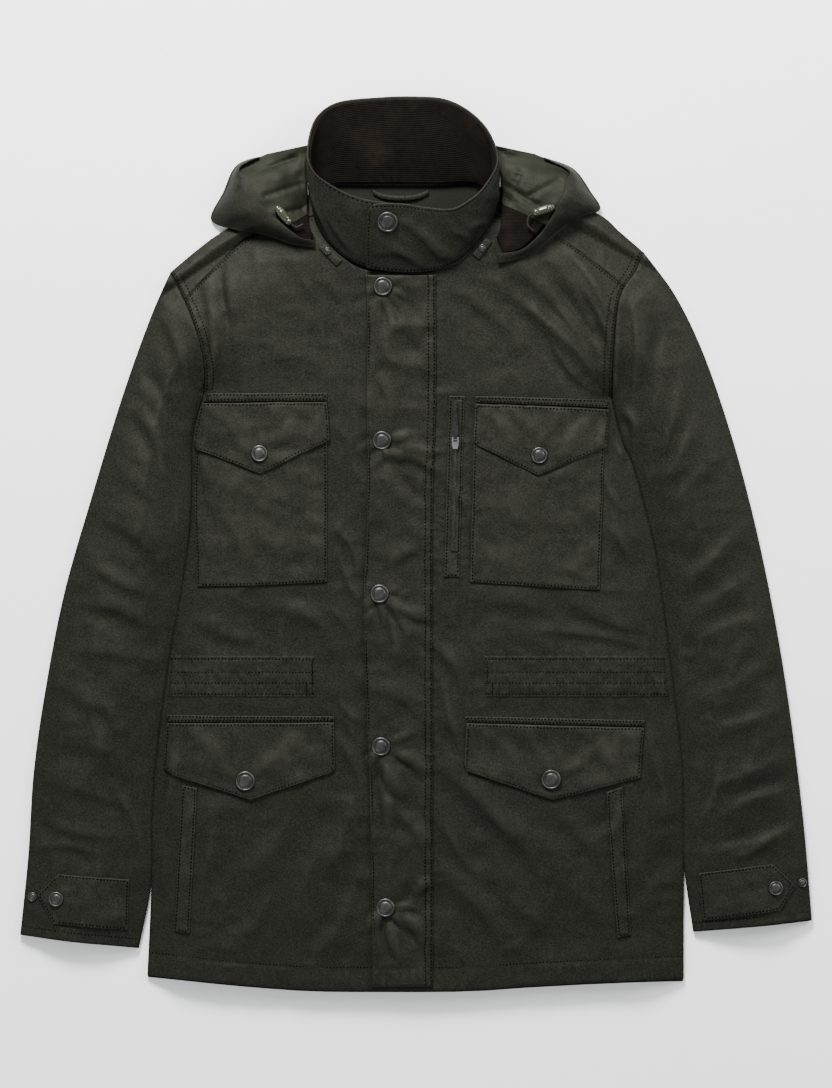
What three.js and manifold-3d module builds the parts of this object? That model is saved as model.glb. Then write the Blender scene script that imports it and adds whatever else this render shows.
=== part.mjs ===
// A hooded waxed cotton field jacket, laid out flat on its back. Millimetres, +Z up out of the front.
// X runs across the jacket and Y runs up towards its collar. Right and left are the wearer's.
import * as THREE from "three";
import { mergeVertices } from "three/addons/utils/BufferGeometryUtils.js";
import Module from "manifold-3d";

const wasm = await Module();
wasm.setup();

// Driving dimensions
const CLOTH = 2.2; // waxed cotton with its lining
const PATCH = 1.6; // a pocket, flap or welt
const SEAM = 0.3; // between pieces sewn edge to edge
const LAY = 0.6; // between a panel and what is sewn on it
const EDGE = 4.6; // height of the upper layer where it folds into the back
const LOFT = 17; // how far the chest and the sleeves rise above that
const HEM_LOFT = 11; // the same at the hem and the cuffs
const ROUND = 55; // width over which an edge rounds up to the full rise
const CENTRE = -14.7; // where the two fronts meet, under the storm flap
const HEM_Y = -438;
const CHEST_Y = 150;
const ARMHOLE_GAP = 0.6;
const ABOVE_SEAM = 3; // steps round the armhole as far as the forward shoulder seam
const BELOW_SEAM = 5; // and on to the underarm
const FRONT_ROWS = 30;
const SLEEVE_GAP = 1; // between a sleeve and the side of the body
const SNAP_R = 9.3;
const SNAP_H = 2.6;

// Outlines, as x and y of the points that a curve runs through
const shoulderRight = [[-239, 266], [-214, 287], [-189, 305], [-142, 329], [-101, 342]];
const shoulderLeft = [[223, 286], [201, 305], [179, 323], [127, 341], [80, 350]];
const armholeRight = [[-239, 266], [-226, 239], [-215, 212], [-209, 190], [-206, 169], [-207, 148]];
const armholeLeft = [[223, 286], [216, 268], [202, 246], [197, 223], [194, 185], [193, 143]];
const sleeveRightOuter = [[-239, 266], [-258, 224], [-286, 146], [-316, 48], [-344, -50],
  [-363, -148], [-374, -227], [-379, -305], [-387, -384]];
const sleeveLeftOuter = [[223, 286], [255, 243], [283, 185], [310, 106], [331, 28], [348, -50],
  [362, -129], [373, -207], [382, -286], [389, -370]];
const sleeveRightInner = [[-207, 148], [-218, 101], [-221, 23], [-230, -46], [-242, -114],
  [-253, -206], [-258, -272], [-259, -333], [-271, -397]];
const sleeveLeftInner = [[193, 143], [203, 101], [215, 72], [233, 5], [240, -29], [250, -114],
  [260, -198], [263, -246], [263, -302], [266, -334], [273, -381]];
const sideRight = [[-207, 148], [-218, 101], [-220, 23], [-229, -46], [-241, -114], [-253, -206],
  [-258, -272], [-258, -333], [-262, -423]];
const sideLeft = [[193, 143], [203, 101], [215, 72], [233, 5], [239, -29], [250, -114], [260, -198],
  [263, -246], [263, -333], [263, -427]];
const cuffRight = [[-387, -384], [-340, -390], [-299, -394], [-271, -397]];
const cuffLeft = [[389, -370], [350, -374], [318, -377], [273, -381]];
const hemRight = [[-262, -423], [-211, -428], [-152, -433.5], [-93, -437], [CENTRE, -437.5]];
const hemLeft = [[263, -427], [201, -428.5], [113, -433], [50, -437], [CENTRE, -437.5]];
const forwardSeamRight = [[-168, 297], [-127, 313], [-96, 321]];
const forwardSeamLeft = [[146, 297], [107, 311], [74, 323]];
const SEAM_DOWN_RIGHT = 0.242; // how far down the armhole the forward shoulder seam meets it
const SEAM_DOWN_LEFT = 0.265;
const neckRight = [[-96, 321], [-87, 297], [-71, 280], [-50, 268], [CENTRE, 263]];
const neckLeft = [[74, 323], [55, 288], [39, 272], [14, 265], [CENTRE, 263]];
const backNeck = [[-101, 342], [-80, 348], [-14, 348], [58, 349], [80, 350]];

// The largest folds: a soft trough or ridge from one end to the other
const FOLDS = [
  { from: [132, 262], to: [188, 172], width: 13, rise: -2.6 },
  { from: [108, 238], to: [184, 158], width: 12, rise: 2.4 },
  { from: [152, 285], to: [196, 200], width: 12, rise: 2.2 },
  { from: [60, 250], to: [150, 168], width: 16, rise: -1.4 },
  { from: [-196, 250], to: [-186, 160], width: 13, rise: -2.2 },
  { from: [-172, 262], to: [-150, 160], width: 17, rise: 1.6 },
  { from: [-216, -60], to: [-110, -100], width: 17, rise: -1.6 },
  { from: [100, -60], to: [230, -92], width: 17, rise: -1.5 },
  { from: [70, -262], to: [196, -352], width: 20, rise: 1.8 },
  { from: [-200, -270], to: [-90, -372], width: 21, rise: 1.5 },
  { from: [-262, 176], to: [-226, 60], width: 15, rise: -2.4 },
  { from: [-300, 62], to: [-236, -18], width: 15, rise: 2.0 },
  { from: [-334, -44], to: [-262, -104], width: 16, rise: -2.0 },
  { from: [-352, -170], to: [-276, -226], width: 15, rise: 1.8 },
  { from: [238, 214], to: [226, 96], width: 15, rise: -2.6 },
  { from: [286, 92], to: [250, -8], width: 16, rise: 2.0 },
  { from: [336, -36], to: [268, -116], width: 16, rise: -2.0 },
  { from: [362, -190], to: [284, -238], width: 15, rise: 1.8 },
  { from: [366, -262], to: [292, -292], width: 13, rise: -1.6 },
];

// Colours of the finishes, with roughness and metalness
const FINISH = {
  waxed: [0x2c2d26, 0.55, 0],
  trim: [0x2a2b25, 0.5, 0],
  corduroy: [0x2b221a, 0.95, 0],
  nylon: [0x3b3d2a, 0.6, 0],
  steel: [0x4a4b4c, 0.35, 0.9],
  bright: [0xa8a9a8, 0.25, 1],
  plastic: [0x30321f, 0.3, 0],
};

const jacket = new THREE.Group();

function add(name, finish, geometry) {
  const [color, roughness, metalness] = FINISH[finish];
  const mesh = new THREE.Mesh(geometry, new THREE.MeshStandardMaterial({ color, roughness, metalness }));
  mesh.name = name;
  jacket.add(mesh);
  return mesh;
}

// A smooth curve through points, and a chain of straight runs with as many steps on each
function curve(points) {
  const spline = new THREE.SplineCurve(points.map(([x, y]) => new THREE.Vector2(x, y)));
  return (t) => spline.getPointAt(t).toArray();
}

function chain(points) {
  return (t) => {
    const at = t * (points.length - 1);
    const i = Math.min(Math.floor(at), points.length - 2);
    return points[i].map((value, k) => value + (points[i + 1][k] - value) * (at - i));
  };
}

// Two curves end to end, the first taking the share of the way given
function joined(first, second, share) {
  return (t) => (t < share ? first(t / share) : second((t - share) / (1 - share)));
}

function part(line, start, end) {
  return (t) => line(start + (end - start) * t);
}

function moved(line, x, y) {
  return (t) => [line(t)[0] + x, line(t)[1] + y];
}

function points(line, count) {
  return Array.from({ length: count + 1 }, (_, i) => line(i / count));
}

// A net of rows and columns between four border curves
function net(top, bottom, left, right, columns, rows) {
  const grid = [];
  for (let j = 0; j <= rows; j++) {
    const v = j / rows;
    const row = [];
    for (let i = 0; i <= columns; i++) {
      const u = i / columns;
      row.push([0, 1].map((k) =>
        (1 - v) * top(u)[k] + v * bottom(u)[k] + (1 - u) * left(v)[k] + u * right(v)[k]
        - (1 - u) * (1 - v) * top(0)[k] - u * (1 - v) * top(1)[k]
        - (1 - u) * v * bottom(0)[k] - u * v * bottom(1)[k]));
    }
    grid.push(row);
  }
  return grid;
}

// How the upper layer of cloth lies: low along the folded edges and full in between
const lowEdges = [
  [...points(curve(shoulderRight), 12), ...points(curve(sleeveRightOuter), 24).slice(1)],
  [...points(curve(shoulderLeft), 12), ...points(curve(sleeveLeftOuter), 24).slice(1)],
  points(curve(sideRight), 24),
  points(curve(sideLeft), 24),
  points(part(curve(sleeveRightInner), 0.85, 1), 4),
  points(part(curve(sleeveLeftInner), 0.85, 1), 4),
];

function offSegment(x, y, [ax, ay], [bx, by]) {
  const along = ((x - ax) * (bx - ax) + (y - ay) * (by - ay)) / ((bx - ax) ** 2 + (by - ay) ** 2);
  const t = Math.min(1, Math.max(0, along));
  return [Math.hypot(x - ax - t * (bx - ax), y - ay - t * (by - ay)), t];
}

function edgeDistance(x, y) {
  let least = Infinity;
  for (const edge of lowEdges) {
    for (let i = 1; i < edge.length; i++) {
      least = Math.min(least, offSegment(x, y, edge[i - 1], edge[i])[0]);
    }
  }
  return least;
}

function height(x, y) {
  const away = edgeDistance(x, y);
  const lower = THREE.MathUtils.smoothstep(CHEST_Y - y, 0, CHEST_Y - HEM_Y);
  const loft = LOFT + (HEM_LOFT - LOFT) * lower;
  let z = EDGE + loft * Math.sin((Math.PI / 2) * Math.min(1, away / ROUND));
  const inner = Math.min(1, away / 20);
  for (const { from, to, width, rise } of FOLDS) {
    const [off, t] = offSegment(x, y, from, to);
    z += inner * rise * Math.exp(-((off / width) ** 2)) * (0.35 + 0.65 * Math.sin(Math.PI * t));
  }
  return z;
}

// The point at x and y, moved out of the upper layer along its normal
function lifted(x, y, off) {
  const slopeX = (height(x + 1, y) - height(x - 1, y)) / 2;
  const slopeY = (height(x, y + 1) - height(x, y - 1)) / 2;
  const normal = new THREE.Vector3(-slopeX, -slopeY, 1).normalize();
  return { at: new THREE.Vector3(x, y, height(x, y)).addScaledVector(normal, off), normal };
}

// A closed body from vertices and faces, turned to face out
function body(vertices, faces) {
  const volume = faces.reduce((sum, [a, b, c]) =>
    sum + vertices[a].dot(new THREE.Vector3().crossVectors(vertices[b], vertices[c])), 0);
  const geometry = new THREE.BufferGeometry().setFromPoints(vertices);
  geometry.setIndex(faces.flatMap(([a, b, c]) => (volume < 0 ? [a, c, b] : [a, b, c])));
  return geometry;
}

// The body between two nets of the same size
function between(upper, lower) {
  const columns = upper[0].length;
  const rows = upper.length;
  const vertices = [...upper.flat(), ...lower.flat()];
  const under = columns * rows;
  const faces = [];
  const quad = (a, b, c, d) => faces.push([a, b, c], [a, c, d]);
  for (let j = 1; j < rows; j++) {
    for (let i = 1; i < columns; i++) {
      const a = (j - 1) * columns + i - 1;
      const b = a + columns;
      quad(a, b, b + 1, a + 1);
      quad(under + a, under + a + 1, under + b + 1, under + b);
    }
  }
  const rim = [];
  for (let i = 0; i < columns - 1; i++) rim.push(i);
  for (let j = 0; j < rows - 1; j++) rim.push(j * columns + columns - 1);
  for (let i = columns - 1; i > 0; i--) rim.push((rows - 1) * columns + i);
  for (let j = rows - 1; j > 0; j--) rim.push(j * columns);
  rim.forEach((a, i) => {
    const b = rim[(i + 1) % rim.length];
    quad(a, b, under + b, under + a);
  });
  return body(vertices, faces);
}

// A piece on the upper layer, from one height above it to another
function laid(grid, low, high) {
  const at = (off) => grid.map((row) => row.map(([x, y]) => lifted(x, y, off).at));
  return between(at(high), at(low));
}

// A tube: rings outside and inside, the same count of points on each
function tube(outer, inner) {
  const count = outer[0].length;
  const rows = outer.length;
  const vertices = [...outer.flat(), ...inner.flat()];
  const inside = count * rows;
  const faces = [];
  const quad = (a, b, c, d) => faces.push([a, b, c], [a, c, d]);
  for (let i = 0; i < count; i++) {
    const next = (i + 1) % count;
    for (let j = 1; j < rows; j++) {
      const a = (j - 1) * count;
      const b = j * count;
      quad(a + i, a + next, b + next, b + i);
      quad(inside + a + i, inside + b + i, inside + b + next, inside + a + next);
    }
    const last = (rows - 1) * count;
    quad(i, inside + i, inside + next, next);
    quad(last + i, last + next, inside + last + next, inside + last + i);
  }
  return body(vertices, faces);
}

function solidOf(geometry) {
  const bare = new THREE.BufferGeometry();
  bare.setAttribute("position", geometry.getAttribute("position"));
  bare.setIndex(geometry.getIndex());
  const merged = mergeVertices(bare, 1e-3);
  return new wasm.Manifold(new wasm.Mesh({
    numProp: 3,
    vertProperties: merged.getAttribute("position").array,
    triVerts: new Uint32Array(merged.getIndex().array),
  }));
}

function fused(geometries) {
  const mesh = geometries.map(solidOf).reduce((all, one) => all.add(one)).getMesh();
  const geometry = new THREE.BufferGeometry();
  geometry.setAttribute("position", new THREE.BufferAttribute(mesh.vertProperties, 3));
  geometry.setIndex(new THREE.BufferAttribute(mesh.triVerts, 1));
  return geometry;
}

// Back: one flat panel from the hem to the shoulders, with the whole jacket on it
function back() {
  const line = [
    ...points(curve(hemRight), 8),
    ...points(curve(hemLeft), 8).reverse().slice(1),
    ...points(curve(sideLeft), 14).reverse().slice(1),
    ...points(armholeLine(armholeLeft, SEAM_DOWN_LEFT), ABOVE_SEAM + BELOW_SEAM).reverse().slice(1),
    ...points(curve(shoulderLeft), 6).slice(1),
    ...points(curve(backNeck), 6).reverse().slice(1),
    ...points(curve(shoulderRight), 6).reverse().slice(1),
    ...points(armholeLine(armholeRight, SEAM_DOWN_RIGHT), ABOVE_SEAM + BELOW_SEAM).slice(1),
    ...points(curve(sideRight), 14).slice(1, -1),
  ];
  const hemDrop = 2.5; // the back shows this far below the fronts
  const shape = new THREE.Shape(line.map(([x, y]) =>
    new THREE.Vector2(x, y < -430 ? y - hemDrop : y)));
  const geometry = new THREE.ExtrudeGeometry(shape, { depth: CLOTH, bevelEnabled: false });
  geometry.deleteAttribute("normal");
  geometry.deleteAttribute("uv");
  return mergeVertices(geometry, 1e-3);
}

// The armhole from the shoulder to the underarm, stepped alike on every piece that meets it
function armholeLine(armhole, down) {
  const line = curve(armhole);
  const share = ABOVE_SEAM / (ABOVE_SEAM + BELOW_SEAM);
  return joined(part(line, 0, down), part(line, down, 1), share);
}

// The forward shoulder seam, from the armhole to the neck
function forwardSeam(armhole, down, seam) {
  return curve([curve(armhole)(down), ...seam]);
}

// A front: from the forward shoulder seam and the neck to the hem, one wall of cloth
function front(seam, down, neck, armhole, side, hem, towards) {
  const top = joined(forwardSeam(armhole, down, seam), curve(neck), 0.5);
  const outer = joined(part(curve(armhole), down, 1), curve(side), BELOW_SEAM / FRONT_ROWS);
  const inner = moved(chain([neck.at(-1), hem.at(-1)]), -towards * SEAM, 0);
  const shiftedTop = (t) => moved(top, -towards * SEAM * t, 0)(t);
  const shiftedHem = (t) => moved(curve(hem), -towards * SEAM * t, 0)(t);
  return laid(net(shiftedTop, shiftedHem, outer, inner, 14, FRONT_ROWS), -CLOTH, 0);
}

// The strip of the back that comes over the shoulder as far as the forward seam
function shoulder(line, seam, down, armhole) {
  const top = curve(line);
  const lower = moved(forwardSeam(armhole, down, seam), 0, 3 * SEAM);
  const outer = (t) => moved(part(curve(armhole), 0, down), 0, 3 * SEAM * t)(t);
  return laid(net(top, lower, outer, chain([top(1), lower(1)]), 7, ABOVE_SEAM), -CLOTH, 0);
}

// A folded edge's point, moved in by the thickness of the cloth towards the next point
function nearer([x, y], [nextX, nextY]) {
  const share = CLOTH / Math.hypot(nextX - x, nextY - y);
  return [x + (nextX - x) * share, y + (nextY - y) * share];
}

// A sleeve: a flattened tube, open at the armhole and the cuff
function sleeve(armhole, down, cuff, outer, inner, towards) {
  const apart = towards * SLEEVE_GAP;
  const ends = moved(armholeLine(armhole, down), towards * ARMHOLE_GAP, 0);
  const seam = moved(curve(inner), apart, 0);
  const rim = (t) => moved(curve(cuff), apart * t, 0)(t);
  const edge = (t) => moved(curve(outer), towards * ARMHOLE_GAP * (1 - t), 0)(t);
  const inset = 1.6; // the underside starts this far in from the folded edge
  const grid = net(ends, rim, edge, seam, ABOVE_SEAM + BELOW_SEAM, 18);
  const outside = (row, j) => {
    const over = row.map(([x, y]) => lifted(x, y, 0).at);
    const under = over.map((p, i) => {
      const side = i === 0 ? 1 : i === row.length - 1 ? -1 : 0;
      return new THREE.Vector3(p.x - towards * side * inset * Math.min(1, j / 3), p.y, 0);
    });
    return [...over, ...under.reverse()];
  };
  const inside = (row) => {
    const inner = [nearer(row[0], row[1]), ...row.slice(1, -1), nearer(row.at(-1), row.at(-2))];
    const over = inner.map(([x, y]) => lifted(x, y, -CLOTH).at);
    return [...over, ...over.map((p) => new THREE.Vector3(p.x, p.y, CLOTH)).reverse()];
  };
  return tube(grid.map(outside), grid.map(inside));
}

// Collar: from its hidden end, round the wearer's right side and the back, to the end on top.
// Columns: foot x and y, lift of the foot, then top edge x, y and z, on the outer face
const COLLAR = [
  [16, 267, 0, 14, 328, 44.5],
  [-16, 267, 0, -18, 331, 45],
  [-52, 272, 0, -58, 338, 46],
  [-75, 285, 0, -92, 356, 46],
  [-91, 302, 0, -104.5, 373, 44],
  [-99, 322, 0, -104.5, 393, 37],
  [-97, 341, 0, -97, 417, 28],
  [-80, 350.5, 0.5, -76, 432, 21],
  [-47, 351, 0.2, -36, 437, 17],
  [-14, 351, 0.2, 0, 438, 16],
  [22, 351, 0.2, 31, 435, 18],
  [58, 352.5, 0.5, 57, 421, 24],
  [75, 341, 0, 75, 399, 32],
  [78, 323, 0, 81, 372, 41],
  [70, 305, 0.4, 66, 346, 47],
  [56, 288, 1.6, 52, 334, 49.5],
  [39, 274, 3.4, 36, 326, 50],
  [14, 266, 3.8, 14, 327, 49.5],
  [-15, 265, 3.8, -14, 331, 49.5],
  [-47.5, 269, 3.8, -46, 331, 49],
];
const BACK_NECK_Y = 343; // past this the collar stands on the back, and before it on the fronts
const COLLAR_REST = 1.3; // above the fronts

// The outer face at a row of the collar, whole or between two, and 0 to 1 from foot to top edge
function collarPoint(row, up) {
  const i = Math.min(Math.floor(row), COLLAR.length - 2);
  const mixed = COLLAR[i].map((value, k) => value + (COLLAR[i + 1][k] - value) * (row - i));
  const footOf = ([x, y, lift]) => lift
    + (y > BACK_NECK_Y ? CLOTH + LAY : height(x, y) + COLLAR_REST);
  const z = footOf(COLLAR[i]) + (footOf(COLLAR[i + 1]) - footOf(COLLAR[i])) * (row - i);
  const [x, y, , topX, topY, topZ] = mixed;
  const full = 3 * Math.sin(Math.PI * up); // the stand bows out between its edges
  const out = new THREE.Vector2((x + topX) / 2 + 14, (y + topY) / 2 - 350).normalize();
  return new THREE.Vector3(
    x + (topX - x) * up + out.x * full,
    y + (topY - y) * up + out.y * full,
    z + (topZ - z) * up + full * 0.5);
}

function collarNet(first, last, low, high, rows) {
  return points((t) => low + (high - low) * t, rows).map((up) =>
    points((t) => first + (last - first) * t, last - first).map((row) => collarPoint(row, up)));
}

// A net of points moved along its own normals
function offset(grid, off) {
  return grid.map((row, j) => row.map((p, i) => {
    const across = new THREE.Vector3().subVectors(row[Math.min(i + 1, row.length - 1)], row[Math.max(i - 1, 0)]);
    const up = new THREE.Vector3().subVectors(
      grid[Math.min(j + 1, grid.length - 1)][i], grid[Math.max(j - 1, 0)][i]);
    return p.clone().addScaledVector(across.cross(up).normalize(), off);
  }));
}

function collar() {
  const face = collarNet(0, COLLAR.length - 1, 0, 1, 4);
  const cornerX = 8; // the free corner at the top is rounded off
  const cornerY = 7;
  const end = COLLAR.length - 1;
  face[4][end].x += cornerX * 0.35;
  face[4][end].y -= cornerY * 0.6;
  return between(face, offset(face, CLOTH));
}

function collarFacing() {
  const face = offset(collarNet(3, 14, 0.03, 0.97, 4), CLOTH + 0.4);
  return between(face, offset(face, 1.4));
}

const HOOD_WALL = 2.2;
const HOOD_REST = 1.8; // above the shoulder
const HOOD_ROOM = 1.5; // around the folds inside it

// Hood, folded down round the collar: one row for each section of a wing.
// Columns: x and y beside the collar, at the outline and at the opening's edge, and that edge's z
const HOOD_RIGHT = [
  [-98, 299, -98, 291, -99, 296, 27],
  [-104, 309, -120, 294, -112, 299, 30],
  [-109, 322, -150, 304, -126, 309, 31],
  [-111, 337, -178, 309, -143, 324, 31],
  [-112, 352, -199, 319, -158, 339, 29],
  [-113, 366, -187, 345, -168, 356, 24],
  [-113, 380, -174, 371, -171, 369, 15],
  [-112, 391, -146, 382, -146, 382, 11],
];
const HOOD_LEFT = [
  [78, 296, 81, 275, 80, 283, 27],
  [83, 307, 102, 280, 102, 286, 30],
  [87, 319, 122, 291, 117, 297, 31],
  [90, 332, 141, 307, 129, 311, 32],
  [92, 345, 160, 320, 138, 327, 31],
  [93, 358, 180, 328, 145, 341, 29],
  [93, 370, 172, 345, 149, 355, 24],
  [92, 381, 153, 369, 150, 366, 15],
  [90, 391, 118, 382, 118, 382, 11],
];

function lineAt(line, x) {
  const sorted = [...line].sort((a, b) => a[0] - b[0]);
  const i = Math.min(Math.max(sorted.findIndex((p) => p[0] > x), 1), sorted.length - 1);
  const [a, b] = [sorted[i - 1], sorted[i]];
  return a[1] + ((b[1] - a[1]) * (x - a[0])) / (b[0] - a[0]);
}

// The height that the hood lies on: the shoulder, then the ground beyond its edge
function ground(x, y, line) {
  const past = y - lineAt(line, x);
  if (past < 0) return height(x, y) + HOOD_REST;
  return Math.max(0, EDGE + HOOD_REST - 0.3 * past);
}

// Across a wing: 0 beside the collar and 1 at the outline
function wingUnder(rows, line) {
  const at = (off) => rows.map(([x, y, outX, outY]) => points((t) => t, 7).map((t) => {
    const across = [x + (outX - x) * t, y + (outY - y) * t];
    return new THREE.Vector3(...across, ground(...across, line) + off);
  }));
  return between(at(HOOD_WALL), at(0));
}

// The brim, folded over from the outline, 0, to the opening's edge, 1
function brimHeight(row, t, line) {
  const low = ground(row[2], row[3], line) + HOOD_WALL + 0.8;
  return low + (row[6] - low) * Math.sin((Math.PI / 2) * t);
}

function wingBrim(rows, line) {
  const at = (off) => rows.map((row) => points((t) => t, 4).map((t) =>
    new THREE.Vector3(
      row[2] + (row[4] - row[2]) * t,
      row[3] + (row[5] - row[3]) * t,
      brimHeight(row, t, line) + off)));
  return between(at(0), at(-HOOD_WALL));
}

function wingRow(rows, at) {
  const i = Math.min(Math.floor(at), rows.length - 2);
  return rows[i].map((value, k) => value + (rows[i + 1][k] - value) * (at - i));
}

// The padded folds inside a wing, from beside the collar, 0, to the opening's edge, 1, and on under the brim
function wingFilling(rows, line, first, last, across) {
  const upper = [];
  const lower = [];
  for (let i = 0; i <= Math.ceil(last - first); i++) {
    const row = wingRow(rows, Math.min(first + i, last));
    const net = across.map((t) => {
      const reach = Math.min(t, 1);
      const beyond = (t - reach) * 1.6;
      const x = row[0] + (row[4] - row[0]) * reach + (row[2] - row[4]) * beyond;
      const y = row[1] + (row[5] - row[1]) * reach + (row[3] - row[5]) * beyond;
      const floor = ground(x, y, line) + HOOD_WALL + HOOD_ROOM;
      const beside = Math.max(floor + 3, row[6] * 0.5);
      const roof = t < 1
        ? beside + (row[6] - HOOD_WALL - HOOD_ROOM - beside) * Math.sin((Math.PI / 2) * t)
        : brimHeight(row, 1 - beyond, line) - HOOD_WALL - HOOD_ROOM;
      return { x, y, floor, roof: Math.max(roof, floor + 1.2) };
    });
    upper.push(net.map(({ x, y, roof }) => new THREE.Vector3(x, y, roof)));
    lower.push(net.map(({ x, y, floor }) => new THREE.Vector3(x, y, floor)));
  }
  return between(upper, lower);
}

function flat(outline, low, depth) {
  const shape = new THREE.Shape(outline.map(([x, y]) => new THREE.Vector2(x, y)));
  const geometry = new THREE.ExtrudeGeometry(shape, { depth, bevelEnabled: false });
  geometry.deleteAttribute("normal");
  geometry.deleteAttribute("uv");
  return mergeVertices(geometry.translate(0, 0, low), 1e-3);
}

function hood() {
  // Under the back of the collar the hood is one flat band
  const band = [[-120, 364], [-120, 384], [-14, 396], [98, 384], [98, 364], [-14, 368]];
  const cutRight = HOOD_RIGHT.length - 1;
  const cutLeft = HOOD_LEFT.length - 1;
  add("hood_shell", "waxed", fused([
    flat(band, 0, HOOD_WALL),
    wingUnder(HOOD_RIGHT, shoulderRight),
    wingBrim(HOOD_RIGHT.slice(0, cutRight), shoulderRight),
    wingUnder(HOOD_LEFT, shoulderLeft),
    wingBrim(HOOD_LEFT.slice(0, cutLeft), shoulderLeft),
  ]));
  const facingRight = 2; // the row at which the corduroy ends
  const facingLeft = 3;
  const open = [0, 0.31, 0.62, 0.92];
  const under = [0, 0.3, 0.6, 0.9, 1.15, 1.35];
  const filling = (name, finish, rows, line, first, last, across) =>
    add(name, finish, wingFilling(rows, line, first, last, across));
  filling("hood_facing_right", "corduroy", HOOD_RIGHT, shoulderRight, 0.3, facingRight - 0.04, open);
  filling("hood_lining_right", "nylon", HOOD_RIGHT, shoulderRight, facingRight, cutRight, under);
  filling("hood_facing_left", "corduroy", HOOD_LEFT, shoulderLeft, 0.3, facingLeft - 0.04, open);
  filling("hood_lining_left", "nylon", HOOD_LEFT, shoulderLeft, facingLeft, cutLeft, under);
}

// A press stud's cap: a low dome with a raised rim, seated on a point with the normal there
function cap(name, finish, at, normal, radius, tall) {
  const profile = [
    [0, 0], [radius, 0], [radius, tall * 0.5], [radius * 0.84, tall * 0.9],
    [radius * 0.6, tall * 0.78], [0, tall],
  ].map(([r, h]) => new THREE.Vector2(r, h));
  const mesh = add(name, finish, new THREE.LatheGeometry(profile, 12));
  mesh.position.copy(at);
  mesh.quaternion.setFromUnitVectors(new THREE.Vector3(0, 1, 0), normal);
}

function capOn(name, [x, y], off, radius = SNAP_R, tall = SNAP_H) {
  const { at, normal } = lifted(x, y, off);
  cap(name, "steel", at, normal, radius, tall);
}

function capOnCollar(name, row, up, radius, tall) {
  const at = collarPoint(row, up);
  const across = collarPoint(row + 0.05, up).sub(at);
  const rise = collarPoint(row, up + 0.05).sub(at);
  const normal = rise.cross(across).normalize();
  cap(name, "steel", at.addScaledVector(normal, LAY), normal, radius, tall);
}

// Body panels and sleeves
add("back", "waxed", back());
add("front_right", "waxed",
  front(forwardSeamRight, SEAM_DOWN_RIGHT, neckRight, armholeRight, sideRight, hemRight, 1));
add("front_left", "waxed",
  front(forwardSeamLeft, SEAM_DOWN_LEFT, neckLeft, armholeLeft, sideLeft, hemLeft, -1));
add("shoulder_right", "waxed", shoulder(shoulderRight, forwardSeamRight, SEAM_DOWN_RIGHT, armholeRight));
add("shoulder_left", "waxed", shoulder(shoulderLeft, forwardSeamLeft, SEAM_DOWN_LEFT, armholeLeft));
add("sleeve_right", "waxed", sleeve(armholeRight, SEAM_DOWN_RIGHT, cuffRight, sleeveRightOuter, sleeveRightInner, -1));
add("sleeve_left", "waxed", sleeve(armholeLeft, SEAM_DOWN_LEFT, cuffLeft, sleeveLeftOuter, sleeveLeftInner, 1));
add("collar", "waxed", collar());
add("collar_facing", "corduroy", collarFacing());
hood();

const OVER_POCKET = 2.4 * LAY; // the chest bands run on over the pockets' edges

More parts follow.
